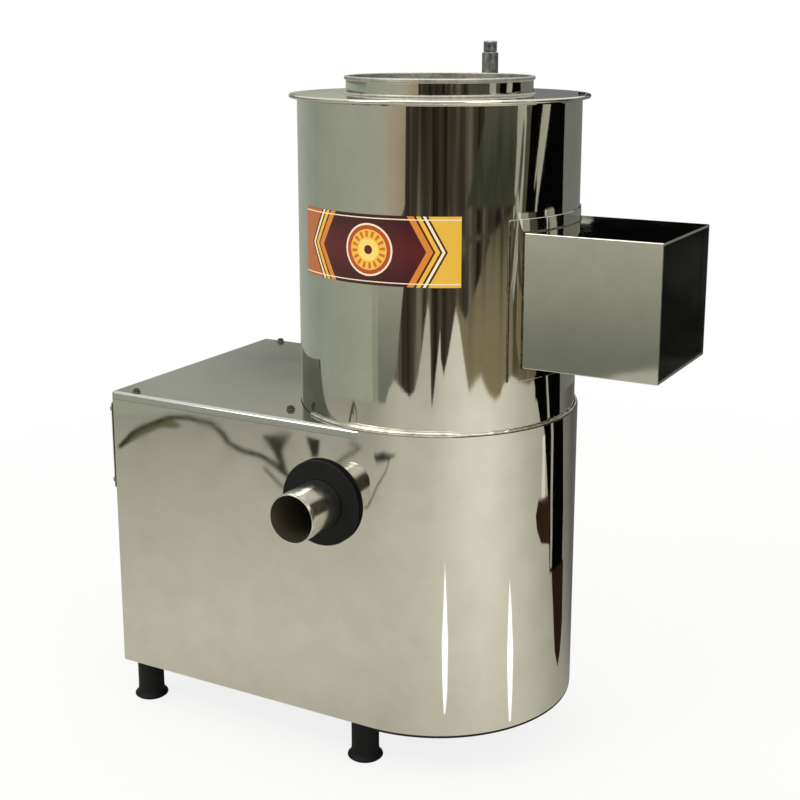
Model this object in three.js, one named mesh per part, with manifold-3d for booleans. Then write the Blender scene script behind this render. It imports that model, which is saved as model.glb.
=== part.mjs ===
// Electric potato peeler: a stainless drum with an abrasive disc, standing on a D-shaped motor base.
// Lengths are in millimetres, +Z is up, the floor is at z = 0.
// X runs along the base towards its round end and the discharge chute, and the drain looks along -Y.
import * as THREE from 'three';
import { mergeVertices } from 'three/addons/utils/BufferGeometryUtils.js';
import Module from 'manifold-3d';

const wasm = await Module();
wasm.setup();

// Driving dimensions of the whole machine
const drumRadius = 200;
const drumRise = 443;
const baseStep = 5;
const baseReach = 447;
const baseHeight = 435;
const footHeight = 65;
const chuteReach = 366;
const sheet = 2;
const fitGap = 0.3;
const cutOverrun = 5;

// The base's half width, and levels above the floor
const baseHalfWidth = drumRadius + baseStep;
const baseBottom = footHeight;
const deck = baseBottom + baseHeight;
const drumTop = deck + drumRise;

// Base wrap
const baseBend = 3;
const panelWindowHalfWidth = 150;
const panelWindowHeight = 84;
const ventHalfWidth = 70;
const ventHeight = 7;
const ventPitch = 18;
const ventBottom = 55;
const ventCount = 6;

// Deck cover over the motor bay
const coverSkirt = 12;
const coverTail = 16;
const coverDrumGap = 0.8;
const coverScrewInset = 40;
const coverScrewSide = 12;
const coverArcScrewGap = 21.4;
const coverArcScrewAngle = 133.7;

// Hexagon screws with a washer face
const screwShank = 2.5;
const screwHoleGap = 0.5;
const screwLength = 12;
const screwWasher = 6.5;
const screwWasherHeight = 1.2;
const screwHex = 5.4;
const screwHexHeight = 3.6;

// Base floor and feet
const floorSheet = 3;
const footRadius = 20;
const footFlare = 26;
const footFlareHeight = 9;
const footToeHeight = 3;
const footInset = 30;
const frontFootSetback = 24;
const footStud = 5;
const footStudRise = 10;

// Welded angle frame inside the base
const angleWidth = 25;
const angleWall = 3;
const railReach = 110;
const frontPostSetback = 212;
const motorRailDrop = 34;

// Switch panel on the flat end
const panelSheet = 1.5;
const panelEdge = 2;
const panelHeight = 137;
const panelDrop = 86;
const panelScrewEdge = 12.5;
const panelScrewSideEdge = 8;
const startButtonSide = 40;
const stopButtonSide = 100;
const glandSide = 100;

// Push buttons
const bushOuter = 11;
const bushInner = 9.6;
const bushDepth = 16;
const bezelRadius = 15;
const bezelHeight = 3;
const plungerRadius = 9.2;
const plungerDepth = 12;
const startButtonStand = 2;
const stopButtonStand = 4;
const stopCapRadius = 16;
const stopCapHeight = 6;
const stopCapCrown = 2;
const contactHalfWidth = 13;
const contactLength = 32;

// Cable gland, its bore left empty
const glandBore = 4.5;
const glandThread = 7.7;
const glandThreadDepth = 14;
const glandHex = 11;
const glandHexHeight = 7;
const glandDome = 9.4;
const glandNose = 6.2;
const glandReach = 21;

// Drum shell, its seam ring and liner
const drumSink = 30;
const seamRingHeight = 8;
const seamRingGap = 0.4;
const linerWall = 4;
const linerFoot = 20;
const linerHeight = 370;

// Drum top with its rolled lip, and the feed collar
const lipReach = 11.5;
const lipHeight = 8;
const lipEdge = 5.5;
const lipRoot = 1;
const lipGap = 0.4;
const collarInset = 68.5;
const collarHeight = 24;
const collarDrop = 8;
const collarRim = 2.5;

// Discharge chute
const chuteWidth = 197;
const chuteHeight = 183;
const chuteBottom = 87;
const chuteFlange = 18;
const chuteHem = 1.5;
const chuteHemWidth = 7;

// Sliding discharge gate inside the drum
const gateOverlapAngle = 3.5;
const gateLap = 6;
const gateTravel = 150;
const gateTabReach = 38;
const gateTabHalfWidth = 32;
const gateTabRise = 12;
const gateTabHole = 10;
const guideClearance = 0.6;
const guideLip = 1.8;
const guideWebAngle = 1.6;
const guideSlotAngle = 0.6;
const guideLapAngle = 3;
const guideStop = 7;
const guideHead = 6;

// Label on the drum
const labelWidth = 250;
const labelHeight = 93;
const labelBottom = 202;
const labelSheet = 0.6;
const labelGap = 0.4;

// Water inlet and spray pipe
const inletInset = 35;
const inletBore = 8;
const inletThread = 10.65;
const inletSocket = 12.25;
const inletSocketHeight = 53;
const inletHeight = 70;
const inletDrop = 14;
const inletNutRadius = 18;
const inletNutHeight = 6;
const sprayDrop = 38;
const sprayPipeRadius = 7;
const sprayPipeWall = 1.5;
const sprayStubRadius = 10;
const sprayAngle = 30;
const sprayOverrunAngle = 1;

// Drain
const drainReach = 80;
const drainOffset = 73;
const drainDrop = 111;
const drainRadius = 35;
const drainWall = 2;
const drainGasketRadius = 62;
const drainGasketHeight = 8;
const drainGasketBevel = 3;
const drainNutRadius = 48;
const drainNutHeight = 11;
const drainTail = 6;
const drainInletInset = 80;
const drainBend = 50;

// Drum floor pan and its shaft boss
const panRim = 13;
const panBossRadius = 25;
const panBossWall = 3;
const panBossHeight = 75;
const panDrainRadius = 32;

// Abrasive disc on the main shaft
const discClearance = 8.7;
const discRise = 90;
const discWall = 12;
const discHubRadius = 39;
const discHubWall = 10;
const discHubDrop = 45;
const discRidgeCount = 3;
const discRidgeInner = 45;
const discRidgeEdge = 13;
const discRidgeRadius = 14;
const discRidgeHeight = 13;

// Main shaft, its bearings, housing, bridge and seal
const shaftRadius = 12.5;
const shaftShoulder = 17;
const shaftShoulderHeight = 12;
const shaftThread = 10;
const shaftThreadRise = 11;
const shaftTail = 27;
const shaftNutRadius = 18;
const shaftNutHeight = 18;
const shaftNutCrown = 3;
const shaftNutSkirtShare = 0.6;
const shaftNutTopShare = 0.65;
const bearingRadius = 26;
const bearingHeight = 15;
const bearingInset = 5;
const housingRadius = 36;
const housingHeight = 75;
const housingFlange = 58;
const housingFlangeHeight = 10;
const bridgeHalfWidth = 45;
const bridgeThickness = 6;
const sealHeight = 10;
const sealInset = 4;

// Belt drive
const driveDrop = 148;
const drivenRadius = 110;
const motorPulleyRadius = 35;
const grooveDepth = 12;
const grooveFloorHalf = 4;
const grooveMouthHalf = 8.5;
const rimHalf = 12;
const rimDepth = 25;
const webHalf = 5;
const pulleyHubRadius = 25;
const pulleyHubHalf = 20;
const beltSeat = 0.9;
const beltDepth = 9.7;
const beltSideGap = 0.4;

// Motor and its plate
const motorSetback = 112;
const motorPlateHalfLength = 92;
const motorPlateThickness = 6;
const motorPlateHole = 40;
const motorFlange = 80;
const motorFlangeHeight = 10;
const motorFloorGap = 11.7;
const motorRadius = 66;
const motorFinDepth = 6;
const motorFinCount = 24;
const motorFinShare = 0.32;
const motorShaftRadius = 9.5;
const motorShaftRise = 52;
const motorShaftTail = 24;
const fanRadius = 60;
const fanHubRadius = 16;
const fanDisc = 3;
const fanHeight = 18;
const fanTail = 22;
const fanBladeCount = 8;
const fanBladeHalf = 1.5;
const fanCoverRadius = 74;
const fanCoverHeight = 30;
const fanCoverWall = 3;
const fanCoverHole = 26;
const terminalDepth = 45;
const terminalHalfWidth = 35;
const terminalHeight = 80;
const terminalDrop = 49;

// Number of facets round the circles
const drumSteps = 64;
const collarSteps = 48;
const hiddenSteps = 36;
const machinedSteps = 24;
const pipeSteps = 28;
const smallSteps = 16;
const screwSteps = 12;
const hexSides = 6;
const bendSteps = 3;
const elbowSteps = 8;
const spraySteps = 6;
const beltSteps = 24;
const ridgeSteps = 12;
const gateSteps = 12;

const fullTurn = Math.PI * 2;
const radians = THREE.MathUtils.degToRad;

// Finishes of the real pieces
function finish(color, roughness, metalness) {
  return new THREE.MeshStandardMaterial({ color, roughness, metalness });
}
const polishedSteel = finish(0xb4b3a2, 0.15, 1);
const millSteel = finish(0x9a9b98, 0.45, 1);
const paintedSteel = finish(0x44484a, 0.6, 0.2);
const castIron = finish(0x3b3d3e, 0.7, 0.5);
const blackRubber = finish(0x1a1c19, 0.85, 0);
const blackPlastic = finish(0x202224, 0.5, 0);
const greenPlastic = finish(0x1f8a45, 0.4, 0);
const redPlastic = finish(0xb3241d, 0.4, 0);
const motorPaint = finish(0x3f5f78, 0.5, 0.1);
const emeryGrit = finish(0x4a463f, 0.95, 0);
const labelPrint = finish(0x5e1519, 0.35, 0);

// Solids for cutting and joining
function solidOf(geometry) {
  const bare = geometry.clone();
  bare.deleteAttribute('normal');
  bare.deleteAttribute('uv');
  const merged = mergeVertices(bare);
  const corners = merged.index.array;
  const kept = [];
  for (let i = 0; i < corners.length; i += 3) {
    const [a, b, c] = corners.slice(i, i + 3);
    if (a !== b && b !== c && c !== a) kept.push(a, b, c);
  }
  return new wasm.Manifold(new wasm.Mesh({
    numProp: 3,
    vertProperties: new Float32Array(merged.attributes.position.array),
    triVerts: new Uint32Array(kept),
  }));
}

function geometryOf(solid) {
  const mesh = solid.getMesh();
  const geometry = new THREE.BufferGeometry();
  geometry.setAttribute('position', new THREE.BufferAttribute(mesh.vertProperties, 3));
  geometry.setIndex(new THREE.BufferAttribute(mesh.triVerts, 1));
  geometry.computeVertexNormals();
  return geometry;
}

function cut(body, tools) {
  return geometryOf(tools.reduce((solid, tool) => solid.subtract(solidOf(tool)), solidOf(body)));
}

function join(bodies) {
  return geometryOf(bodies.slice(1).reduce((solid, body) => solid.add(solidOf(body)), solidOf(bodies[0])));
}

// Basic forms, all with +Z up
function block(x0, x1, y0, y1, z0, z1) {
  const box = new THREE.BoxGeometry(x1 - x0, y1 - y0, z1 - z0);
  return box.translate((x0 + x1) / 2, (y0 + y1) / 2, (z0 + z1) / 2);
}

function rod(radius, z0, z1, steps) {
  const cylinder = new THREE.CylinderGeometry(radius, radius, z1 - z0, steps);
  return cylinder.rotateX(Math.PI / 2).translate(0, 0, (z0 + z1) / 2);
}

function turned(profile, steps) {
  const points = profile.map(([r, z]) => new THREE.Vector2(r, z));
  return new THREE.LatheGeometry(points, steps).rotateX(Math.PI / 2);
}

function ring(inner, outer, z0, z1, steps) {
  return turned([[inner, z0], [outer, z0], [outer, z1], [inner, z1], [inner, z0]], steps);
}

function outlineOf(points) {
  return new THREE.Shape(points.map(([x, y]) => new THREE.Vector2(x, y)));
}

function raised(shape, z0, z1) {
  return new THREE.ExtrudeGeometry(shape, { depth: z1 - z0, bevelEnabled: false }).translate(0, 0, z0);
}

function arc(radius, from, to, steps, x = 0, y = 0) {
  const points = [];
  for (let i = 0; i <= steps; i += 1) {
    const angle = radians(from + (to - from) * i / steps);
    points.push([x + radius * Math.cos(angle), y + radius * Math.sin(angle)]);
  }
  return points;
}

// A hole that a faceted rod of the same number of sides can turn in
function boreFor(radius, steps) {
  return (radius + fitGap) / Math.cos(Math.PI / steps);
}

// Turned pieces that point out of the flat end along -X, or out of the near side along -Y
function facingEnd(geometry, y, z) {
  return geometry.rotateY(-Math.PI / 2).translate(-baseReach - fitGap - panelSheet, y, z);
}

function facingNear(geometry) {
  return geometry.rotateX(Math.PI / 2).translate(-drainOffset, 0, deck - drainDrop);
}

const machine = new THREE.Group();
function addPiece(name, geometry, material) {
  const mesh = new THREE.Mesh(geometry, material);
  mesh.name = name;
  machine.add(mesh);
  return mesh;
}

// D-shaped outline of the base: straight sides, a flat end and a round end
function baseOutline(inset, bend) {
  const half = baseHalfWidth - inset;
  const end = baseReach - inset;
  const points = arc(half, -90, 90, drumSteps / 2);
  if (bend === 0) return points.concat([[-end, half], [-end, -half]]);
  return points.concat(
    arc(bend, 90, 180, bendSteps, bend - end, half - bend),
    arc(bend, 180, 270, bendSteps, bend - end, bend - half),
  );
}

const wallInX = baseReach - sheet - fitGap;
const wallInY = baseHalfWidth - sheet - fitGap;
const panelLevel = deck - panelDrop;
const panelHalfWidth = baseHalfWidth - panelEdge;
const frontPostReach = baseReach - frontPostSetback;
const screwHole = screwShank + screwHoleGap;

function endScrewPlaces() {
  const low = panelLevel - panelHeight / 2 + panelScrewEdge;
  const high = panelLevel + panelHeight / 2 - panelScrewEdge;
  const side = panelHalfWidth - panelScrewSideEdge;
  return [[-side, high], [side, high], [-side, low], [side, low]];
}

function screwHoleThroughEnd([y, z]) {
  const reach = screwLength + cutOverrun;
  return rod(screwHole, -reach, reach, screwSteps).rotateY(Math.PI / 2).translate(-baseReach, y, z);
}

function coverScrewPlaces() {
  const endX = coverScrewInset - baseReach;
  const endY = baseHalfWidth - coverScrewSide;
  const angle = coverArcScrewAngle;
  return [[endX, -endY], [endX, endY]].concat(arc(drumRadius + coverArcScrewGap, -angle, angle, 1));
}

function screwHoleThroughDeck([x, y]) {
  const reach = screwLength + cutOverrun;
  return rod(screwHole, deck - reach, deck + reach, screwSteps).translate(x, y, 0);
}

// Base wrap
function baseShell() {
  const shape = outlineOf(baseOutline(0, baseBend));
  shape.holes.push(new THREE.Path(baseOutline(sheet, 0).map(([x, y]) => new THREE.Vector2(x, y))));
  const far = baseReach + cutOverrun;
  const wide = baseHalfWidth + cutOverrun;
  const endWall = [-far, cutOverrun - baseReach];
  const tools = [
    block(-far, -coverTail, -wide, wide, deck - coverSkirt - fitGap, deck + cutOverrun),
    facingNear(rod(drainRadius + fitGap + sheet / 2, wallInY - cutOverrun, wide, pipeSteps)),
    block(...endWall, -panelWindowHalfWidth, panelWindowHalfWidth,
      panelLevel - panelWindowHeight / 2, panelLevel + panelWindowHeight / 2),
    ...endScrewPlaces().map(screwHoleThroughEnd),
  ];
  for (let i = 0; i < ventCount; i += 1) {
    const z = baseBottom + ventBottom + i * ventPitch;
    tools.push(block(...endWall, -ventHalfWidth, ventHalfWidth, z, z + ventHeight));
  }
  return cut(raised(shape, baseBottom, deck), tools);
}

// Deck cover: flat plate with a folded skirt, cut out round the drum
function deckCover() {
  const half = baseHalfWidth;
  const cutRadius = drumRadius + coverDrumGap;
  const tailAngle = THREE.MathUtils.radToDeg(Math.asin(coverTail / cutRadius));
  const straight = [[-coverTail, half]].concat(
    arc(baseBend, 90, 180, bendSteps, baseBend - baseReach, half - baseBend),
    arc(baseBend, 180, 270, bendSteps, baseBend - baseReach, baseBend - half),
    [[-coverTail, -half]],
  );
  const round = arc(cutRadius, 270 - tailAngle, 90 + tailAngle, drumSteps / 2);
  const plate = raised(outlineOf(straight.concat(round)), deck - sheet, deck);
  const skirt = raised(outlineOf(straight.concat([
    [-coverTail, sheet - half], [sheet - baseReach, sheet - half],
    [sheet - baseReach, half - sheet], [-coverTail, half - sheet],
  ])), deck - coverSkirt, deck);
  return cut(join([plate, skirt]), coverScrewPlaces().map(screwHoleThroughDeck));
}

// Screw with its washer face at z = 0 and its head above
function screw() {
  const top = screwWasherHeight + screwHexHeight;
  return join([
    rod(screwShank, -screwLength, cutOverrun / 2, screwSteps),
    rod(screwWasher, 0, screwWasherHeight, smallSteps),
    rod(screwHex, screwWasherHeight / 2, top, hexSides),
  ]);
}

// Floor sheet of the base
function baseFloor() {
  const plate = raised(outlineOf(baseOutline(sheet + fitGap, 0)), baseBottom, baseBottom + floorSheet);
  const hole = boreFor(footStud, smallSteps);
  const low = baseBottom - cutOverrun;
  const high = baseBottom + floorSheet + cutOverrun;
  return cut(plate, footPlaces().map(([x, y]) => rod(hole, low, high, smallSteps).translate(x, y, 0)));
}

function footPlaces() {
  const y = baseHalfWidth - footInset;
  const rear = footInset - baseReach;
  return [[-frontFootSetback, -y], [-frontFootSetback, y], [rear, -y], [rear, y]];
}

// Rubber foot with a flared base and a stud through the floor sheet
function foot() {
  const top = baseBottom - fitGap;
  return turned([
    [0, 0], [footFlare - footToeHeight, 0], [footFlare, footToeHeight], [footRadius, footFlareHeight],
    [footRadius, top], [footStud, top], [footStud, top + floorSheet + footStudRise],
    [0, top + floorSheet + footStudRise],
  ], smallSteps);
}

// Welded frame of equal angles: deck rails, four posts, motor rails and the bridge bar
function innerFrame() {
  const railTop = deck - sheet - fitGap;
  const floorTop = baseBottom + floorSheet + fitGap;
  const motorRailTop = driveLevel - motorRailDrop;
  const barTop = bridgeBottom() - fitGap;
  const bars = [
    block(-wallInX, angleWidth - wallInX, -wallInY, wallInY, railTop - angleWall, railTop),
    block(-wallInX, angleWall - wallInX, -wallInY, wallInY, railTop - angleWidth, railTop),
    block(-frontPostReach, angleWidth - frontPostReach, -wallInY, wallInY, barTop - angleWall, barTop),
    block(-frontPostReach, angleWall - frontPostReach, -wallInY, wallInY, barTop - angleWidth, barTop),
  ];
  for (const side of [-1, 1]) {
    const wall = [side * wallInY, side * (wallInY - angleWall)].sort((a, b) => a - b);
    const leg = [side * wallInY, side * (wallInY - angleWidth)].sort((a, b) => a - b);
    bars.push(
      block(-wallInX, -railReach, ...leg, railTop - angleWall, railTop),
      block(-wallInX, -railReach, ...wall, railTop - angleWidth, railTop),
      block(-wallInX, angleWidth - frontPostReach, ...leg, motorRailTop - angleWall, motorRailTop),
      block(-wallInX, angleWidth - frontPostReach, ...wall, motorRailTop - angleWidth, motorRailTop),
    );
    for (const reach of [wallInX, frontPostReach]) {
      bars.push(
        block(-reach, angleWidth - reach, ...wall, floorTop, railTop),
        block(-reach, angleWall - reach, ...leg, floorTop, railTop),
      );
    }
  }
  const studRoom = (x, y) => rod(footStud * 2, floorTop - cutOverrun, floorTop + footStudRise + cutOverrun,
    screwSteps).translate(x, y, 0);
  return cut(join(bars), [
    ...footPlaces().map(([x, y]) => studRoom(x, y)),
    ...coverScrewPlaces().map(screwHoleThroughDeck),
    ...endScrewPlaces().map(screwHoleThroughEnd),
  ]);
}

// Switch panel screwed over the window in the flat end
function switchPanel() {
  const outer = -baseReach - fitGap - panelSheet;
  const plate = block(outer, outer + panelSheet, -panelHalfWidth, panelHalfWidth,
    panelLevel - panelHeight / 2, panelLevel + panelHeight / 2);
  const bushHole = boreFor(bushOuter, smallSteps);
  const glandHole = boreFor(glandThread, smallSteps);
  const through = (radius, y) => facingEnd(rod(radius, -cutOverrun, cutOverrun, smallSteps), y, panelLevel);
  return cut(plate, [
    through(bushHole, startButtonSide), through(bushHole, stopButtonSide), through(glandHole, -glandSide),
    ...endScrewPlaces().map(screwHoleThroughEnd),
  ]);
}

function buttonBezel() {
  return turned([
    [bushInner, -bushDepth], [bushOuter, -bushDepth], [bushOuter, fitGap], [bezelRadius, fitGap],
    [bezelRadius, fitGap + bezelHeight], [bushInner, fitGap + bezelHeight], [bushInner, -bushDepth],
  ], smallSteps);
}

function startButton() {
  return turned([
    [0, -plungerDepth], [plungerRadius, -plungerDepth], [plungerRadius, bezelHeight + startButtonStand],
    [0, bezelHeight + startButtonStand],
  ], smallSteps);
}

function stopButton() {
  const under = bezelHeight + stopButtonStand;
  const top = under + stopCapHeight;
  return turned([
    [0, -plungerDepth], [plungerRadius, -plungerDepth], [plungerRadius, under], [stopCapRadius, under],
    [stopCapRadius, top - stopCapCrown], [stopCapRadius - stopCapCrown, top], [0, top],
  ], smallSteps);
}

function contactBlock() {
  const half = contactHalfWidth;
  const top = -bushDepth - fitGap;
  return block(-half, half, -half, half, top - contactLength, top);
}

function cableGland() {
  const body = turned([
    [glandBore, -glandThreadDepth], [glandThread, -glandThreadDepth], [glandThread, fitGap + glandHexHeight],
    [glandDome, fitGap + glandHexHeight], [glandDome, glandReach - glandBore], [glandNose, glandReach],
    [glandBore, glandReach], [glandBore, -glandThreadDepth],
  ], smallSteps);
  const hex = rod(glandHex, fitGap, fitGap + glandHexHeight, hexSides);
  const bore = rod(glandBore, -cutOverrun, glandHexHeight + cutOverrun, smallSteps);
  return join([body, cut(hex, [bore])]);
}

// Levels and radii inside the drum
const drumBottom = deck - drumSink;
const driveLevel = drumBottom - driveDrop;
const rimPlate = drumTop - sheet;
const drumInner = drumRadius - sheet;
const linerInner = drumInner - fitGap - linerWall;
const gateRadius = linerInner - fitGap - guideLip - guideClearance;
const discRadius = linerInner - discClearance;
const collarRadius = drumRadius - collarInset;
const inletOffset = drumRadius - inletInset;
const drainInlet = drumRadius - drainInletInset;
const chuteSide = chuteWidth / 2;
const chuteLow = deck + chuteBottom;
const chuteHigh = chuteLow + chuteHeight;
const gateLow = chuteLow + sheet - gateLap;
const gateHigh = chuteHigh - sheet + gateLap;

function chutePassage() {
  const end = chuteReach + cutOverrun;
  return block(0, end, sheet - chuteSide, chuteSide - sheet, chuteLow + sheet, chuteHigh - sheet);
}

function drumShell() {
  return cut(ring(drumInner, drumRadius, drumBottom, rimPlate - fitGap, drumSteps), [chutePassage()]);
}

function drumLiner() {
  const low = drumBottom + linerFoot;
  return cut(ring(linerInner, drumInner - fitGap, low, low + linerHeight, drumSteps), [chutePassage()]);
}

// Seam ring: closes the step between the round end of the base and the drum
function seamRing() {
  const angle = 90 + THREE.MathUtils.radToDeg(Math.asin((coverTail - fitGap) / baseHalfWidth));
  const outer = arc(baseHalfWidth, -angle, angle, drumSteps / 2);
  const inner = arc(drumRadius + seamRingGap, angle, -angle, drumSteps / 2);
  return raised(outlineOf(outer.concat(inner)), deck + fitGap, deck + seamRingHeight);
}

// Drum top: flat ring with a lip folded back to the drum wall
function drumLid() {
  const lipRadius = drumRadius + lipReach;
  const root = drumRadius + lipGap;
  const hole = collarRadius + fitGap;
  const plate = turned([
    [hole, rimPlate], [root, rimPlate], [root, drumTop - lipHeight], [root + lipRoot, drumTop - lipHeight],
    [lipRadius, drumTop - lipEdge], [lipRadius, drumTop], [hole, drumTop], [hole, rimPlate],
  ], drumSteps);
  const bore = boreFor(inletThread, smallSteps);
  const inletHole = rod(bore, rimPlate - cutOverrun, drumTop + cutOverrun, smallSteps);
  return cut(plate, [inletHole.translate(0, inletOffset, 0)]);
}

function feedCollar() {
  const inner = collarRadius - sheet;
  const top = drumTop + collarHeight;
  const bead = collarRim;
  return turned([
    [inner, drumTop - collarDrop], [collarRadius, drumTop - collarDrop], [collarRadius, top - bead * 2],
    [collarRadius + bead, top - bead], [collarRadius + bead / 2, top], [inner, top],
    [inner, drumTop - collarDrop],
  ], collarSteps);
}

// Discharge chute: square duct, a hem round its mouth and a flange lying on the drum
function chute() {
  const flangeBox = block(0, drumRadius * 2, -chuteSide - chuteFlange, chuteSide + chuteFlange,
    chuteLow - chuteFlange, chuteHigh + chuteFlange);
  const skin = drumRadius + fitGap;
  const wrap = ring(skin, skin + sheet, chuteLow - chuteFlange * 2, chuteHigh + chuteFlange * 2, drumSteps);
  const flange = geometryOf(solidOf(wrap).intersect(solidOf(flangeBox)));
  const duct = block(0, chuteReach, -chuteSide, chuteSide, chuteLow, chuteHigh);
  const core = rod(skin, chuteLow - cutOverrun, chuteHigh + cutOverrun, drumSteps).rotateZ(Math.PI / 2);
  const tube = cut(join([cut(duct, [core]), flange]), [chutePassage()]);
  const hem = block(chuteReach - chuteHemWidth, chuteReach, -chuteSide, chuteSide, chuteLow, chuteHigh);
  const end = chuteReach + cutOverrun;
  const inset = sheet + chuteHem;
  const hemCut = block(0, end, inset - chuteSide, chuteSide - inset, chuteLow + inset, chuteHigh - inset);
  return join([tube, cut(hem, [hemCut])]);
}

// Angle of the gate's upright edges from the chute's middle, in degrees
const gateAngle = THREE.MathUtils.radToDeg(Math.asin(chuteSide / drumRadius)) + gateOverlapAngle;

function dischargeGate() {
  const inner = gateRadius - sheet;
  const plate = raised(outlineOf(arc(gateRadius, -gateAngle, gateAngle, gateSteps)
    .concat(arc(inner, gateAngle, -gateAngle, gateSteps))), gateLow, gateHigh);
  const tabLow = gateHigh - gateTabRise;
  const tab = block(gateRadius - gateTabReach, inner + sheet / 2, -gateTabHalfWidth, gateTabHalfWidth,
    tabLow, tabLow + sheet);
  const hole = rod(gateTabHole, tabLow - cutOverrun, tabLow + cutOverrun, smallSteps);
  const place = gateRadius - gateTabReach / 2 - gateTabHole / 2;
  return join([plate, cut(tab, [hole.translate(place, 0, 0)])]);
}

// Channel that holds one upright edge of the gate, closed at its foot as the gate's stop
function gateGuide(side) {
  const outer = linerInner - fitGap;
  const slotOuter = gateRadius + guideClearance;
  const slotInner = gateRadius - sheet - guideClearance;
  const inner = slotInner - guideLip;
  const lap = side * (gateAngle - guideLapAngle);
  const web = side * (gateAngle + guideWebAngle);
  const slot = side * (gateAngle + guideSlotAngle);
  const at = (radius, angle) => arc(radius, angle, angle, 1)[0];
  const channel = outlineOf([
    at(inner, lap), at(inner, web), at(outer, web), at(outer, lap),
    at(slotOuter, lap), at(slotOuter, slot), at(slotInner, slot), at(slotInner, lap),
  ]);
  const stop = outlineOf([at(inner, lap), at(inner, web), at(outer, web), at(outer, lap)]);
  const low = gateLow - fitGap - guideStop;
  const high = gateHigh + gateTravel + guideHead;
  return join([raised(channel, low, high), raised(stop, low, gateLow - fitGap)]);
}

// Printed label on the near side of the drum
function frontLabel() {
  const half = THREE.MathUtils.radToDeg(labelWidth / drumRadius / 2);
  const inner = drumRadius + labelGap;
  const outer = inner + labelSheet;
  const shape = outlineOf(arc(outer, -90 - half, -90 + half, drumSteps / 4)
    .concat(arc(inner, -90 + half, -90 - half, drumSteps / 4)));
  return raised(shape, deck + labelBottom, deck + labelBottom + labelHeight);
}

// Water inlet nipple, its nut under the drum top, and the curved spray pipe
function waterInlet() {
  return turned([
    [inletBore, drumTop - inletDrop], [inletThread, drumTop - inletDrop], [inletThread, drumTop + fitGap],
    [inletSocket, drumTop + fitGap], [inletSocket, drumTop + inletSocketHeight],
    [inletThread, drumTop + inletSocketHeight], [inletThread, drumTop + inletHeight],
    [inletBore, drumTop + inletHeight], [inletBore, drumTop - inletDrop],
  ], smallSteps).translate(0, inletOffset, 0);
}

function inletNut() {
  const top = rimPlate - fitGap;
  const low = top - inletNutHeight;
  const bore = rod(boreFor(inletThread, smallSteps), low - cutOverrun, top + cutOverrun, smallSteps);
  return cut(rod(inletNutRadius, low, top, hexSides), [bore]).translate(0, inletOffset, 0);
}

class ArcCurve extends THREE.Curve {
  constructor(radius, from, to) {
    super();
    this.radius = radius;
    this.from = from;
    this.to = to;
  }

  getPoint(share, target = new THREE.Vector3()) {
    const angle = radians(this.from + (this.to - this.from) * share);
    return target.set(this.radius * Math.cos(angle), this.radius * Math.sin(angle), 0);
  }
}

function swept(radius, curve, steps, sides) {
  const section = outlineOf(arc(radius, 0, 360 - 360 / sides, sides - 1));
  return new THREE.ExtrudeGeometry(section, { steps, extrudePath: curve, bevelEnabled: false });
}

function sprayPipe() {
  const level = drumTop - sprayDrop;
  const top = drumTop - inletDrop - fitGap;
  const past = sprayAngle + sprayOverrunAngle;
  const curve = new ArcCurve(inletOffset, 90 - sprayAngle, 90 + sprayAngle);
  const boreCurve = new ArcCurve(inletOffset, 90 - past, 90 + past);
  const pipe = swept(sprayPipeRadius, curve, spraySteps, screwSteps).translate(0, 0, level);
  const boreRadius = sprayPipeRadius - sprayPipeWall;
  const bore = swept(boreRadius, boreCurve, spraySteps, screwSteps).translate(0, 0, level);
  const stub = rod(sprayStubRadius, level, top, smallSteps).translate(0, inletOffset, 0);
  const stubBore = rod(inletBore, level, top + cutOverrun, smallSteps).translate(0, inletOffset, 0);
  return cut(join([pipe, stub]), [bore, stubBore]);
}

// Drain: elbow under the pan, outlet pipe, rubber gasket outside and nut inside the base wall
function drainElbow() {
  const level = deck - drainDrop;
  const path = new THREE.CurvePath();
  const start = new THREE.Vector3(0, -drainInlet, drumBottom - fitGap);
  const bendStart = new THREE.Vector3(0, -drainInlet, level + drainBend);
  const corner = new THREE.Vector3(0, -drainInlet, level);
  const bendEnd = new THREE.Vector3(0, -drainInlet - drainBend, level);
  const end = new THREE.Vector3(0, drainPipeInner() + fitGap, level);
  path.add(new THREE.LineCurve3(start, bendStart));
  path.add(new THREE.QuadraticBezierCurve3(bendStart, corner, bendEnd));
  path.add(new THREE.LineCurve3(bendEnd, end));
  const section = outlineOf(arc(drainRadius, 0, 360 - 360 / pipeSteps, pipeSteps - 1));
  const hole = arc(drainRadius - drainWall, 0, 360 - 360 / pipeSteps, pipeSteps - 1);
  section.holes.push(new THREE.Path(hole.map(([x, y]) => new THREE.Vector2(x, y))));
  const sweep = { steps: elbowSteps, extrudePath: path, bevelEnabled: false };
  return new THREE.ExtrudeGeometry(section, sweep).translate(-drainOffset, 0, 0);
}

function drainPipeInner() {
  return drainNutHeight + drainTail - wallInY;
}

function drainPipe() {
  const mouth = baseHalfWidth + drainReach;
  return facingNear(ring(drainRadius - drainWall, drainRadius, -drainPipeInner(), mouth, pipeSteps));
}

function drainGasket() {
  const low = baseHalfWidth + fitGap;
  const high = low + drainGasketHeight;
  const bore = boreFor(drainRadius, pipeSteps);
  return facingNear(turned([
    [bore, low], [drainGasketRadius, low], [drainGasketRadius, high - drainGasketBevel],
    [drainGasketRadius - drainGasketBevel, high], [bore, high], [bore, low],
  ], pipeSteps));
}

function drainNut() {
  const bore = boreFor(drainRadius, pipeSteps);
  return facingNear(ring(bore, drainNutRadius, wallInY - drainNutHeight, wallInY, pipeSteps));
}

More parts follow.
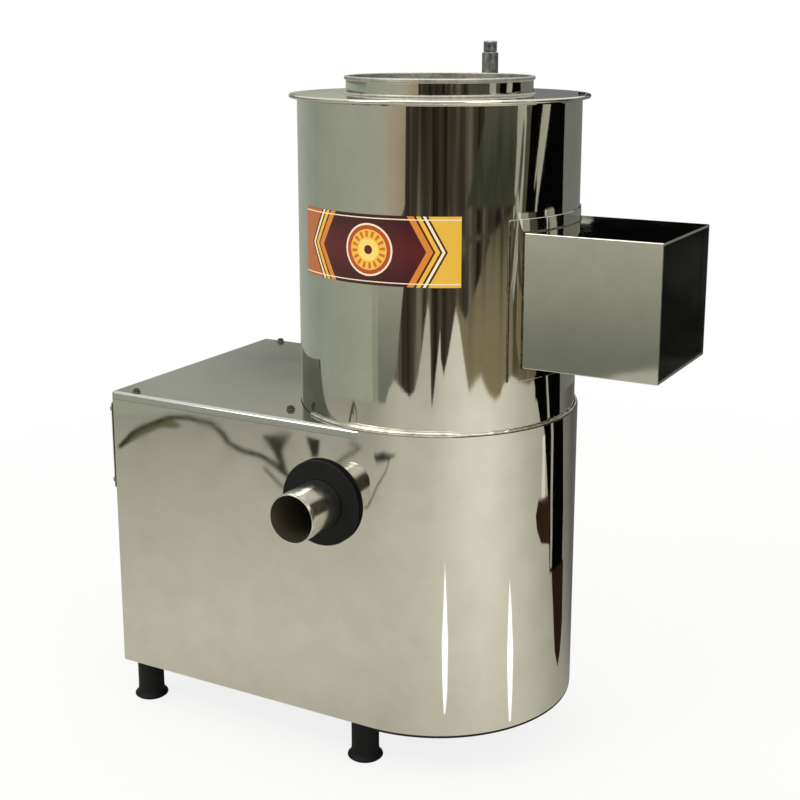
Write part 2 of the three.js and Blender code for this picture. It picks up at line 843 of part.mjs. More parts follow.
// Drum floor pan with a raised boss round the shaft
const bossTop = drumBottom + panBossHeight;
function drumFloor() {
  const outer = drumInner - fitGap;
  const inner = outer - sheet;
  const bossBore = panBossRadius - panBossWall;
  const pan = turned([
    [bossBore, drumBottom], [outer, drumBottom], [outer, drumBottom + panRim], [inner, drumBottom + panRim],
    [inner, drumBottom + sheet], [panBossRadius, drumBottom + sheet], [panBossRadius, bossTop],
    [bossBore, bossTop], [bossBore, drumBottom],
  ], hiddenSteps);
  const drain = rod(panDrainRadius, drumBottom - cutOverrun, drumBottom + cutOverrun, pipeSteps);
  return cut(pan, [drain.translate(-drainOffset, -drainInlet, 0)]);
}

function shaftSeal() {
  const outer = panBossRadius - panBossWall - fitGap;
  const high = bossTop - sealInset;
  return ring(boreFor(shaftRadius, machinedSteps), outer, high - sealHeight, high, machinedSteps);
}

// Rotor: main shaft, abrasive disc with its ridges, cap nut and driven pulley
const discBottom = drumBottom + discRise;
const discTop = discBottom + discWall;
function mainShaft() {
  const low = driveLevel - shaftTail;
  const shoulderTop = discBottom - fitGap;
  const threadTop = discTop + shaftThreadRise;
  return turned([
    [0, low], [shaftRadius, low], [shaftRadius, shoulderTop - shaftShoulderHeight],
    [shaftShoulder, shoulderTop - shaftShoulderHeight], [shaftShoulder, shoulderTop],
    [shaftThread, shoulderTop], [shaftThread, threadTop], [0, threadTop],
  ], smallSteps);
}

function abrasiveDisc() {
  const bore = boreFor(shaftThread, hiddenSteps);
  const hubInner = discHubRadius - discHubWall;
  const disc = turned([
    [bore, discBottom], [hubInner, discBottom], [hubInner, discBottom - discHubDrop],
    [discHubRadius, discBottom - discHubDrop], [discHubRadius, discBottom], [discRadius, discBottom],
    [discRadius, discTop], [bore, discTop], [bore, discBottom],
  ], hiddenSteps);
  const bodies = [disc];
  const ridgeEnd = discRadius - discRidgeEdge;
  for (let i = 0; i < discRidgeCount; i += 1) {
    const ridge = rod(discRidgeRadius, discRidgeInner, ridgeEnd, ridgeSteps).rotateY(Math.PI / 2);
    ridge.scale(1, 1, discRidgeHeight / discRidgeRadius).rotateZ(fullTurn * i / discRidgeCount);
    bodies.push(ridge.translate(0, 0, discTop));
  }
  const low = discBottom - discRidgeHeight - cutOverrun;
  const trim = cut(rod(discRadius, low, discBottom, hiddenSteps), [
    rod(discHubRadius, low - cutOverrun, discTop, hiddenSteps),
  ]);
  return cut(join(bodies), [trim, rod(hubInner, low, discBottom, hiddenSteps)]);
}

function discNut() {
  const low = discTop + fitGap;
  const bore = boreFor(shaftThread, smallSteps);
  const socket = low + shaftNutHeight - shaftNutCrown;
  return turned([
    [0, socket], [bore, socket], [bore, low], [shaftNutRadius, low],
    [shaftNutRadius, low + shaftNutHeight * shaftNutSkirtShare],
    [shaftNutRadius * shaftNutTopShare, low + shaftNutHeight], [0, low + shaftNutHeight],
  ], smallSteps);
}

function grooveProfile(radius) {
  const mid = driveLevel;
  const floor = radius - grooveDepth;
  return [
    [radius, mid - rimHalf], [radius, mid - grooveMouthHalf], [floor, mid - grooveFloorHalf],
    [floor, mid + grooveFloorHalf], [radius, mid + grooveMouthHalf], [radius, mid + rimHalf],
  ];
}

function drivenPulley() {
  const bore = boreFor(shaftRadius, machinedSteps);
  const rim = drivenRadius - rimDepth;
  const mid = driveLevel;
  return turned([
    [bore, mid - pulleyHubHalf], [pulleyHubRadius, mid - pulleyHubHalf], [pulleyHubRadius, mid - webHalf],
    [rim, mid - webHalf], [rim, mid - rimHalf], ...grooveProfile(drivenRadius), [rim, mid + rimHalf],
    [rim, mid + webHalf], [pulleyHubRadius, mid + webHalf], [pulleyHubRadius, mid + pulleyHubHalf],
    [bore, mid + pulleyHubHalf], [bore, mid - pulleyHubHalf],
  ], machinedSteps);
}

// V belt: a closed loop of one trapezoid section round both pulleys
function driveBelt() {
  const large = drivenRadius - grooveDepth + beltSeat;
  const small = motorPulleyRadius - grooveDepth + beltSeat;
  const lean = THREE.MathUtils.radToDeg(Math.acos((large - small) / motorOffset));
  const slope = (grooveMouthHalf - grooveFloorHalf) / grooveDepth;
  const innerHalf = grooveFloorHalf + beltSeat * slope - beltSideGap;
  const outerHalf = innerHalf + beltDepth * slope;
  const section = [[0, -innerHalf], [beltDepth, -outerHalf], [beltDepth, outerHalf], [0, innerHalf]];
  const path = [
    ...arc(1, lean - 180, 180 - lean, beltSteps).map(([x, y]) => [0, large, x, y]),
    ...arc(1, 180 - lean, 180 + lean, beltSteps / 2).map(([x, y]) => [-motorOffset, small, x, y]),
  ];
  const places = path.flatMap(([centre, radius, nx, ny]) => section.flatMap(([out, z]) => [
    centre + (radius + out) * nx, (radius + out) * ny, driveLevel + z,
  ]));
  const corners = section.length;
  const faces = [];
  path.forEach((point, i) => {
    const here = i * corners;
    const next = ((i + 1) % path.length) * corners;
    for (let k = 0; k < corners; k += 1) {
      const m = (k + 1) % corners;
      faces.push(here + k, next + m, next + k, here + k, here + m, next + m);
    }
  });
  const geometry = new THREE.BufferGeometry();
  geometry.setAttribute('position', new THREE.Float32BufferAttribute(places, 3));
  geometry.setIndex(faces.reverse());
  geometry.computeVertexNormals();
  return geometry;
}

// Bearing housing on its bridge
const housingTop = drumBottom - fitGap;
function bridgeBottom() {
  return drumBottom - fitGap - housingFlangeHeight - fitGap - bridgeThickness;
}

function bearingHousing() {
  const bore = boreFor(bearingRadius, machinedSteps);
  const low = housingTop - housingHeight;
  const flangeLow = housingTop - housingFlangeHeight;
  return turned([
    [bore, low], [housingRadius, low], [housingRadius, flangeLow], [housingFlange, flangeLow],
    [housingFlange, housingTop], [bore, housingTop], [bore, low],
  ], machinedSteps);
}

function bearing(low) {
  return ring(boreFor(shaftRadius, machinedSteps), bearingRadius, low, low + bearingHeight, machinedSteps);
}

function bearingBridge() {
  const angle = THREE.MathUtils.radToDeg(Math.asin(bridgeHalfWidth / wallInY));
  const outline = arc(wallInY, -angle, angle, elbowSteps)
    .concat([[-frontPostReach, bridgeHalfWidth], [-frontPostReach, -bridgeHalfWidth]]);
  const low = bridgeBottom();
  const high = low + bridgeThickness;
  const bore = boreFor(housingRadius, machinedSteps);
  const hole = rod(bore, low - cutOverrun, high + cutOverrun, machinedSteps);
  return cut(raised(outlineOf(outline), low, high), [hole]);
}

// Motor hung under its plate, with a finned body, fan, fan cover and terminal box
const motorOffset = baseReach - motorSetback;
const motorTop = driveLevel - motorRailDrop;
const motorPlateLow = motorTop + fitGap;
const motorLow = baseBottom + floorSheet + motorFloorGap + fanCoverHeight + fitGap;
function motorPlate() {
  const half = wallInY - angleWall - fitGap;
  const high = motorPlateLow + motorPlateThickness;
  const plate = block(-motorPlateHalfLength, motorPlateHalfLength, -half, half, motorPlateLow, high);
  const hole = rod(motorPlateHole, motorPlateLow - cutOverrun, high + cutOverrun, pipeSteps);
  return cut(plate, [hole]).translate(-motorOffset, 0, 0);
}

function motorHousing() {
  const outline = [];
  const step = 360 / motorFinCount;
  for (let i = 0; i < motorFinCount; i += 1) {
    const angle = i * step;
    const land = step * motorFinShare;
    const tip = motorRadius + motorFinDepth;
    outline.push(...arc(tip, angle - land / 2, angle + land / 2, 1));
    outline.push(...arc(motorRadius, angle + land, angle + step - land, 1));
  }
  const body = raised(outlineOf(outline), motorLow, motorTop - motorFlangeHeight / 2);
  const flange = rod(motorFlange, motorTop - motorFlangeHeight, motorTop, hiddenSteps);
  const bore = boreFor(motorShaftRadius, smallSteps);
  const passage = rod(bore, motorLow - cutOverrun, motorTop + cutOverrun, smallSteps);
  return cut(join([body, flange]), [passage]).translate(-motorOffset, 0, 0);
}

function fanCover() {
  const high = motorLow - fitGap;
  const low = high - fanCoverHeight;
  const inner = fanCoverRadius - fanCoverWall * 2;
  return turned([
    [fanCoverHole, low], [fanCoverRadius, low], [fanCoverRadius, high], [inner, high],
    [inner, low + fanCoverWall], [fanCoverHole, low + fanCoverWall], [fanCoverHole, low],
  ], machinedSteps).translate(-motorOffset, 0, 0);
}

function terminalBox() {
  const near = motorRadius + motorFinDepth + fitGap - motorOffset;
  const half = terminalHalfWidth;
  const low = (motorLow + motorTop) / 2 - terminalDrop;
  return block(near, near + terminalDepth, -half, half, low, low + terminalHeight);
}

function motorShaft() {
  const low = motorLow - motorShaftTail;
  return rod(motorShaftRadius, low, motorTop + motorShaftRise, smallSteps).translate(-motorOffset, 0, 0);
}

// Fan on the lower end of the motor shaft: a disc with radial blades on its upper side
function motorFan() {
  const low = motorLow - fanTail;
  const bore = boreFor(motorShaftRadius, smallSteps);
  const bodies = [
    rod(fanHubRadius, low, low + fanHeight, machinedSteps),
    rod(fanRadius, low, low + fanDisc, machinedSteps),
  ];
  for (let i = 0; i < fanBladeCount; i += 1) {
    const blade = block(0, fanRadius, -fanBladeHalf, fanBladeHalf, low, low + fanHeight);
    bodies.push(blade.rotateZ(fullTurn * i / fanBladeCount));
  }
  const passage = rod(bore, low - cutOverrun, low + fanHeight + cutOverrun, smallSteps);
  return cut(join(bodies), [passage]).translate(-motorOffset, 0, 0);
}

function motorPulley() {
  const bore = boreFor(motorShaftRadius, smallSteps);
  return turned([
    [bore, driveLevel - rimHalf], ...grooveProfile(motorPulleyRadius), [bore, driveLevel + rimHalf],
    [bore, driveLevel - rimHalf],
  ], machinedSteps).translate(-motorOffset, 0, 0);
}

// Base and its frame
addPiece('base_shell', baseShell(), polishedSteel);
addPiece('base_floor', baseFloor(), millSteel);
addPiece('inner_frame', innerFrame(), paintedSteel);
addPiece('deck_cover', deckCover(), polishedSteel);
coverScrewPlaces().forEach(([x, y], i) => {
  addPiece(`cover_screw_${i + 1}`, screw(), millSteel).position.set(x, y, deck + fitGap);
});
footPlaces().forEach(([x, y], i) => {
  addPiece(`foot_${i + 1}`, foot(), blackRubber).position.set(x, y, 0);
});

// Switch panel and its pieces
addPiece('switch_panel', switchPanel(), polishedSteel);
endScrewPlaces().forEach(([y, z], i) => {
  const place = addPiece(`panel_screw_${i + 1}`, screw(), millSteel);
  place.position.set(-baseReach - fitGap - panelSheet - fitGap, y, z);
  place.rotation.y = -Math.PI / 2;
});
addPiece('start_bezel', facingEnd(buttonBezel(), startButtonSide, panelLevel), polishedSteel);
addPiece('stop_bezel', facingEnd(buttonBezel(), stopButtonSide, panelLevel), polishedSteel);
addPiece('start_button', facingEnd(startButton(), startButtonSide, panelLevel), greenPlastic);
addPiece('stop_button', facingEnd(stopButton(), stopButtonSide, panelLevel), redPlastic);
addPiece('start_contact_block', facingEnd(contactBlock(), startButtonSide, panelLevel), blackPlastic);
addPiece('stop_contact_block', facingEnd(contactBlock(), stopButtonSide, panelLevel), blackPlastic);
addPiece('cable_gland', facingEnd(cableGland(), -glandSide, panelLevel), blackPlastic);

// Drum, chute and gate
addPiece('drum_shell', drumShell(), polishedSteel);
addPiece('drum_liner', drumLiner(), emeryGrit);
addPiece('drum_floor', drumFloor(), millSteel);
addPiece('drum_top', drumLid(), polishedSteel);
addPiece('feed_collar', feedCollar(), polishedSteel);
addPiece('seam_ring', seamRing(), polishedSteel);
addPiece('discharge_chute', chute(), polishedSteel);
addPiece('discharge_gate', dischargeGate(), polishedSteel);
addPiece('gate_guide_near', gateGuide(-1), millSteel);
addPiece('gate_guide_far', gateGuide(1), millSteel);
addPiece('front_label', frontLabel(), labelPrint);

// Water in and water out
addPiece('water_inlet', waterInlet(), polishedSteel);
addPiece('inlet_nut', inletNut(), millSteel);
addPiece('spray_pipe', sprayPipe(), millSteel);
addPiece('drain_elbow', drainElbow(), millSteel);
addPiece('drain_pipe', drainPipe(), polishedSteel);
addPiece('drain_gasket', drainGasket(), blackRubber);
addPiece('drain_nut', drainNut(), millSteel);

// Bearings and rotor
addPiece('bearing_bridge', bearingBridge(), paintedSteel);
addPiece('bearing_housing', bearingHousing(), castIron);
addPiece('upper_bearing', bearing(housingTop - bearingInset - bearingHeight), millSteel);
addPiece('lower_bearing', bearing(housingTop - housingHeight + bearingInset), millSteel);
addPiece('shaft_seal', shaftSeal(), blackRubber);
addPiece('main_shaft', mainShaft(), millSteel);
addPiece('abrasive_disc', abrasiveDisc(), emeryGrit);
addPiece('disc_nut', discNut(), polishedSteel);
addPiece('driven_pulley', drivenPulley(), castIron);

// Motor drive
addPiece('motor_plate', motorPlate(), paintedSteel);
addPiece('motor_housing', motorHousing(), motorPaint);
addPiece('motor_fan', motorFan(), blackPlastic);
addPiece('motor_fan_cover', fanCover(), motorPaint);
addPiece('motor_terminal_box', terminalBox(), blackPlastic);
addPiece('motor_shaft', motorShaft(), millSteel);
addPiece('motor_pulley', motorPulley(), castIron);
addPiece('drive_belt', driveBelt(), blackRubber);

// The frame's origin lies on the floor, under the middle of the machine's overall box
const lowX = -baseReach - fitGap - panelSheet - glandReach;
const lowY = -baseHalfWidth - drainReach;
const highY = drumRadius + lipReach;
machine.position.set(-(lowX + chuteReach) / 2, -(lowY + highY) / 2, 0);

export default machine;
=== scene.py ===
import math
import random

import bmesh
import bpy
from mathutils import Matrix, Vector, noise


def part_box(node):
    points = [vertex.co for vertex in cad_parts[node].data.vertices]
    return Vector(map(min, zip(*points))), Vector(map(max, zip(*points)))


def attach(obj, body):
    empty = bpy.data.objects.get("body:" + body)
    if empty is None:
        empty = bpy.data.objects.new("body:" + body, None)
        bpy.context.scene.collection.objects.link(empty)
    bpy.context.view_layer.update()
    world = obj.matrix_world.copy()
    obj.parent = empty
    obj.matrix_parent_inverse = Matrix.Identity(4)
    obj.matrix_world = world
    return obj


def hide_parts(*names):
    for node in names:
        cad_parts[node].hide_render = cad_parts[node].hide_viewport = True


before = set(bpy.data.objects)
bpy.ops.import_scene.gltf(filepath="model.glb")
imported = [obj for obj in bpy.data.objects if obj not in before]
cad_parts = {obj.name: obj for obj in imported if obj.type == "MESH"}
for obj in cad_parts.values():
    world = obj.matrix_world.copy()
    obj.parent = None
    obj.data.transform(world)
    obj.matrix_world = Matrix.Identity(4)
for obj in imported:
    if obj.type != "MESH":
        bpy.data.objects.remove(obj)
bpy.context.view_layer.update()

# Potato peeler: the looks of a polished stainless drum machine, built round its frame.
# Shapes are worked out in millimetres from the drum's axis at floor level, and placed in metres.
MM = 0.001
CLEAR = 0.3  # between a piece and what it lies against
SHEET = 2.0  # thickness of the steel sheet
BEYOND = 9  # how far a cutting shape runs past what it cuts
NEAR = -90  # direction of the near side, in degrees from +X

# Facets round a turned piece, from the drum down to a screw
DRUM_STEPS = 256
PAN_STEPS = 192
WIDE_STEPS = 128
ROUND_STEPS = 64
SMALL_STEPS = 48
CROWN_STEPS = 36
SCREW_STEPS = 24

drum_low, drum_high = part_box("drum_shell")
AXIS = Vector(((drum_low.x + drum_high.x) / 2, (drum_low.y + drum_high.y) / 2, 0))
INTO_SCENE = Matrix.Translation(AXIS) @ Matrix.Scale(MM, 4)


def limits(node):
    """Lowest and highest corner of a CAD node, in millimetres from the drum's axis."""
    low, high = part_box(node)
    return (low - AXIS) / MM, (high - AXIS) / MM


def centre_of(node):
    return [(low + high) / 2 for low, high in zip(*limits(node))]


def upright(node):
    """Placement on a CAD node's upright centre line."""
    x, y, _ = centre_of(node)
    return Matrix.Translation((x, y, 0))


def evenly(start, end, steps):
    """Values from start to end, with both ends, in even steps."""
    return [start + (end - start) * k / steps for k in range(steps + 1)]


def clamped(value):
    return min(1, max(0, value))


def polar(radius, angle, height=0.0):
    """A point round the drum's axis; the angle is in degrees from +X towards +Y."""
    turn = math.radians(angle)
    return Vector((radius * math.cos(turn), radius * math.sin(turn), height))


def arc(radius, start, end, steps, height=0.0):
    """Points round the drum's axis between two angles."""
    return [polar(radius, angle, height) for angle in evenly(start, end, steps)]


def hexagon(radius):
    return arc(radius, 0, 300, 5)


def angle_at(offset, radius):
    """The angle at which a circle has come this far sideways."""
    return math.degrees(math.asin(offset / radius))


# Levels and radii, read from the frame
DRUM = limits("drum_shell")[1].x
LID = limits("drum_top")[1].z
DECK = limits("deck_cover")[1].z
BASE_LOW = limits("base_shell")[0].z
HALF = limits("base_shell")[1].y
END = limits("base_shell")[0].x


# Colours are sRGB hex values
def colour(hexes):
    """A hex colour as linear red, green, blue and alpha."""
    parts = [int(hexes[i:i + 2], 16) / 255 for i in (1, 3, 5)]
    return (*(p / 12.92 if p <= 0.04045 else ((p + 0.055) / 1.055) ** 2.4 for p in parts), 1.0)


def grey(value):
    return (value, value, value, 1)


def add(tree, kind, inputs=None, **settings):
    """Adds a node; an input is a value or another node's output."""
    node = tree.nodes.new("ShaderNode" + kind)
    for key, value in settings.items():
        setattr(node, key, value)
    for key, value in (inputs or {}).items():
        if isinstance(value, bpy.types.NodeSocket):
            tree.links.new(value, node.inputs[key])
        else:
            node.inputs[key].default_value = value
    return node


def blank_material(name):
    material = bpy.data.materials.new(name)
    material.use_nodes = True
    material.node_tree.nodes.clear()
    return material, material.node_tree


def per_metre(size_mm):
    """Noise scale that gives features of this size on Object coordinates."""
    return 1 / (size_mm * MM)


def ramp(tree, fac, stops):
    """A colour ramp from (place, colour) pairs."""
    node = add(tree, "ValToRGB", {"Fac": fac})
    elements = node.color_ramp.elements
    while len(elements) < len(stops):
        elements.new(0.5)
    for element, (place, value) in zip(elements, stops):
        element.position = place
        element.color = colour(value) if isinstance(value, str) else value
    return node.outputs["Color"]


def toned(tree, pattern, tones, rough, spread=(0.3, 0.7)):
    """Colour and roughness that follow a pattern, as it runs over its spread."""
    roughness = add(tree, "MapRange", {"Value": pattern, "From Min": spread[0], "From Max": spread[1],
                                       "To Min": rough[0], "To Max": rough[1]})
    return {"Base Color": ramp(tree, pattern, tones), "Roughness": roughness.outputs[0]}


def surfaced(tree, looks, height, strength, depth_mm, under=None):
    """Ends a finish: relief of this depth on top of any under it, the shader, and the output."""
    relief = add(tree, "Bump", {"Height": height, "Strength": strength, "Distance": depth_mm * MM})
    if under:
        tree.links.new(under, relief.inputs["Normal"])
    shader = add(tree, "BsdfPrincipled", {**looks, "Normal": relief.outputs[0]})
    add(tree, "OutputMaterial", {"Surface": shader.outputs[0]})


# Finishes
METAL = {"Metallic": 1.0}


def polished_stainless():
    """Type 304 sheet, buffed bright: a slightly warm mirror, with faint ripples left by rolling and
    bending, fine buffing lines, and smudges where it has been handled."""
    material, tree = blank_material("polished_stainless_304")
    where = add(tree, "TexCoord").outputs["Object"]
    ripple = add(tree, "TexNoise", {"Vector": where, "Scale": per_metre(170), "Detail": 1.0})
    smudge = add(tree, "TexNoise", {"Vector": where, "Scale": per_metre(45), "Detail": 4.0, "Roughness": 0.6})
    across = add(tree, "Mapping", {"Vector": where, "Scale": (1, 1, 30)})
    lines = add(tree, "TexNoise", {"Vector": across.outputs[0], "Scale": per_metre(24), "Detail": 3.0})
    looks = toned(tree, smudge.outputs["Fac"], [(0.3, "#D8D6C9"), (0.7, "#CFCDBF")], (0.025, 0.06),
                  (0.35, 0.7))
    waves = add(tree, "Bump", {"Height": ripple.outputs["Fac"], "Strength": 0.35, "Distance": 2.2 * MM})
    surfaced(tree, {**looks, **METAL}, lines.outputs["Fac"], 0.06, 0.05, waves.outputs[0])
    return material


def brushed_plate():
    """The deck's sheet: the same steel with a duller, directional grind that softens what it mirrors."""
    material, tree = blank_material("dull_polished_stainless")
    where = add(tree, "TexCoord").outputs["Object"]
    along = add(tree, "Mapping", {"Vector": where, "Scale": (1, 40, 40)})
    grain = add(tree, "TexNoise", {"Vector": along.outputs[0], "Scale": per_metre(60), "Detail": 4.0})
    cloud = add(tree, "TexNoise", {"Vector": where, "Scale": per_metre(90), "Detail": 3.0})
    looks = toned(tree, cloud.outputs["Fac"], [(0.3, "#CFCFC9"), (0.7, "#C6C6BF")], (0.10, 0.17))
    surfaced(tree, {**looks, **METAL}, grain.outputs["Fac"], 0.08, 0.05)
    return material


def weld_steel():
    """Weld metal dressed with a flap disc: brighter and rougher than the sheet, with small lumps."""
    material, tree = blank_material("dressed_stainless_weld")
    where = add(tree, "TexCoord").outputs["Object"]
    lumps = add(tree, "TexNoise", {"Vector": where, "Scale": per_metre(3), "Detail": 3.0})
    patch = add(tree, "TexNoise", {"Vector": where, "Scale": per_metre(14), "Detail": 2.0})
    heat_tint_and_shade = ramp(tree, patch.outputs["Fac"], [(0.35, "#CFCCBD"), (0.6, "#F4F1E4")])
    surfaced(tree, {"Base Color": heat_tint_and_shade, "Roughness": 0.34, **METAL}, lumps.outputs["Fac"], 0.5, 0.4)
    return material


def plain_metal(name, light, dark, roughness, grain_mm, depth_mm=0.05):
    """A machined, rolled or cast metal: a grain of this size in its colour and its surface."""
    material, tree = blank_material(name)
    where = add(tree, "TexCoord").outputs["Object"]
    grain = add(tree, "TexNoise", {"Vector": where, "Scale": per_metre(grain_mm), "Detail": 4.0})
    looks = toned(tree, grain.outputs["Fac"], [(0.35, dark), (0.65, light)], (roughness * 0.8, roughness * 1.2))
    surfaced(tree, {**looks, **METAL}, grain.outputs["Fac"], 0.3, depth_mm)
    return material


def coated(name, light, dark, roughness, grain_mm, depth_mm, ior=1.5, gloss=0.5):
    """Paint, plastic or rubber: a small change of shade and a moulded or sprayed grain."""
    material, tree = blank_material(name)
    where = add(tree, "TexCoord").outputs["Object"]
    grain = add(tree, "TexNoise", {"Vector": where, "Scale": per_metre(grain_mm), "Detail": 3.0})
    cloud = add(tree, "TexNoise", {"Vector": where, "Scale": per_metre(grain_mm * 20), "Detail": 3.0})
    looks = toned(tree, cloud.outputs["Fac"], [(0.35, dark), (0.65, light)],
                  (roughness * 0.9, roughness * 1.1))
    surfaced(tree, {**looks, "IOR": ior, "Specular IOR Level": gloss}, grain.outputs["Fac"], 0.4, depth_mm)
    return material


def emery_coat():
    """Silicon carbide grit in a resin bond: dark, rough, with bright specks of crystal."""
    material, tree = blank_material("silicon_carbide_grit")
    where = add(tree, "TexCoord").outputs["Object"]
    cells = add(tree, "TexVoronoi", {"Vector": where, "Scale": per_metre(2.2)})
    worn = add(tree, "TexNoise", {"Vector": where, "Scale": per_metre(60), "Detail": 3.0})
    speck = ramp(tree, cells.outputs["Color"], [(0.2, "#2E2B28"), (0.75, "#5E5850"), (0.97, "#A9A49A")])
    heat_tint_and_shade = add(tree, "Mix", {"Factor": worn.outputs["Fac"], "A": speck, "B": colour("#4B453D")},
               data_type="RGBA")
    looks = {"Base Color": heat_tint_and_shade.outputs["Result"], "Roughness": 0.85}
    surfaced(tree, looks, cells.outputs["Distance"], 0.9, 0.9)
    return material


# Each finish with its slot. Stainless is bright in the sheet, softer in the tube, satin on rims that are
# dressed by hand, brown where a weld has heated it and darker there as painted shade; dark coats inside the
# duct and pipe are painted shade.
FINISHES = {
    "bright": (polished_stainless(), "polished_stainless"),
    "dull": (brushed_plate(), "polished_stainless"),
    "weld": (weld_steel(), "polished_stainless"),
    "tube": (plain_metal("drawn_stainless_tube", "#E6E4DA", "#D2D0C6", 0.2, 8), "polished_stainless"),
    "satin": (plain_metal("satin_stainless", "#C0BEB2", "#A8A69A", 0.45, 5), "polished_stainless"),
    # Partly painted shade: the welds' heat tint is made dark enough to stand for the shadow line along the
    # chute's flange
    "heat_tint_and_shade": (plain_metal("heat_tint_and_painted_shade_weld", "#6A6250", "#332E24", 0.4, 6), "polished_stainless"),
    # Painted shade: the inside of the chute's duct is coated nearly black
    "duct_inside_shade": (coated("painted_shade_duct_inside", "#34362F", "#1C1D19", 0.35, 4, 0.04), "mill_steel"),
    # Painted shade: the inside of the outlet pipe is coated dark brown
    "pipe_inside_shade": (coated("painted_shade_pipe_inside", "#4F483A", "#37322A", 0.5, 3, 0.05, gloss=0.3), "mill_steel"),
    # Plain steel: grey and cloudy as rolled, cleaner where turned, darker under zinc, open-grained as cast
    "mill": (plain_metal("rolled_steel_2b", "#A6A7A3", "#8C8D89", 0.32, 6), "mill_steel"),
    "machined": (plain_metal("turned_steel", "#B9B9B5", "#9B9B97", 0.25, 2), "mill_steel"),
    "zinc": (plain_metal("zinc_plated_screw", "#8E8A7C", "#5F5C52", 0.35, 4), "mill_steel"),
    "cast": (plain_metal("grey_cast_iron", "#5C5D5D", "#3A3B3B", 0.6, 1.5, 0.3), "cast_iron"),
    # Paint is flat as primer and glossier as enamel; rubber is black and matt, plastics have a soft gloss
    "frame": (coated("grey_primer_on_angle", "#4A4E50", "#3A3D3F", 0.6, 1.2, 0.1), "painted_steel"),
    "rubber": (coated("moulded_black_rubber", "#121312", "#0A0B0A", 0.6, 0.8, 0.05, 1.52, 0.22),
               "black_rubber"),
    "nylon": (coated("moulded_black_nylon", "#26282A", "#1A1B1D", 0.45, 0.6, 0.04, 1.53), "black_plastic"),
    "green": (coated("green_polycarbonate", "#1F8F49", "#1A8040", 0.28, 0.8, 0.01, 1.58), "green_plastic"),
    "red": (coated("red_polycarbonate", "#BF271E", "#AC2019", 0.28, 0.8, 0.01, 1.58), "red_plastic"),
    "enamel": (coated("blue_motor_enamel", "#44667F", "#3A5970", 0.4, 1.5, 0.12), "motor_enamel"),
    "grit": (emery_coat(), "abrasive_grit"),
}

# Shapes: closed bmesh bodies in millimetres
FILLET_STEPS = 5
ROUNDED_ANGLE = 30
SHARP_ANGLE = 35


def filleted(points):
    """Rounds corners of an outline: a point is (x, y), or (x, y, radius) where it is rounded."""
    rounded = []
    for i, point in enumerate(points):
        here = Vector(point[:2])
        if len(point) == 2:
            rounded.append(here)
            continue
        back = (Vector(points[i - 1][:2]) - here).normalized()
        on = (Vector(points[(i + 1) % len(points)][:2]) - here).normalized()
        half = back.angle(on) / 2
        centre = here + (back + on).normalized() * (point[2] / math.sin(half))
        start = here + back * (point[2] / math.tan(half)) - centre
        end = here + on * (point[2] / math.tan(half)) - centre
        turn = math.atan2(start.cross(end), start.dot(end))
        rounded += [centre + Matrix.Rotation(angle, 2) @ start for angle in evenly(0, turn, FILLET_STEPS)]
    return rounded


def rounded_box(half, rise, radius):
    return filleted([(-half, -rise, radius), (half, -rise, radius),
                     (half, rise, radius), (-half, rise, radius)])


def spun(profile, steps=ROUND_STEPS):
    """A turned body: the profile is (radius, height), closed unless it starts on the axis."""
    body = bmesh.new()
    verts = [body.verts.new((r, 0, z)) for r, z in filleted(profile)]
    edges = [body.edges.new(pair) for pair in zip(verts, verts[1:])]
    if profile[0][0] > 0:
        edges.append(body.edges.new((verts[-1], verts[0])))
    bmesh.ops.spin(body, geom=verts + edges, cent=(0, 0, 0), axis=(0, 0, 1), angle=math.tau, steps=steps,
                   use_merge=True, use_duplicate=False)
    bmesh.ops.remove_doubles(body, verts=body.verts, dist=0.001)
    return body


def rod(radius, low, high, steps=ROUND_STEPS):
    return spun([(0, low), (radius, low), (radius, high), (0, high)], steps)


def prism(outline, low, high):
    """An upright body from an outline."""
    body = bmesh.new()
    face = body.faces.new([body.verts.new((point[0], point[1], low)) for point in outline])
    raised = bmesh.ops.extrude_face_region(body, geom=[face])["geom"]
    verts = [part for part in raised if isinstance(part, bmesh.types.BMVert)]
    bmesh.ops.translate(body, vec=(0, 0, high - low), verts=verts)
    bmesh.ops.recalc_face_normals(body, faces=body.faces)
    return body


def arc_plate(inner, outer, start, end, low, high, steps):
    """An upright plate bent round the drum's axis."""
    return prism(arc(outer, start, end, steps) + arc(inner, start, end, steps)[::-1], low, high)


def block(low, high):
    """A box between two corners."""
    low, high = Vector(low), Vector(high)
    body = bmesh.new()
    bmesh.ops.create_cube(body, size=1)
    return moved(body, Matrix.Translation((low + high) / 2) @ Matrix.Diagonal((*(high - low), 1)))


def moved(body, matrix):
    bmesh.ops.transform(body, matrix=matrix, verts=body.verts)
    return body


def soften(body, width, segments=2, keep=lambda edge: True):
    """Rounds the edges where the surface turns sharply; keep(edge) picks among them."""
    body.normal_update()
    turn = math.radians(ROUNDED_ANGLE)
    edges = [e for e in body.edges if len(e.link_faces) == 2 and e.calc_face_angle(0) > turn and keep(e)]
    bmesh.ops.bevel(body, geom=edges, offset=width, offset_type="OFFSET", segments=segments, profile=0.5,
                    affect="EDGES", material=-1, clamp_overlap=True)
    return body


def mesh_of(body, name="working"):
    mesh = bpy.data.meshes.new(name)
    body.to_mesh(mesh)
    body.free()
    return mesh


def linked(name, data):
    """A new object in the scene."""
    made = bpy.data.objects.new(name, data)
    bpy.context.scene.collection.objects.link(made)
    return made


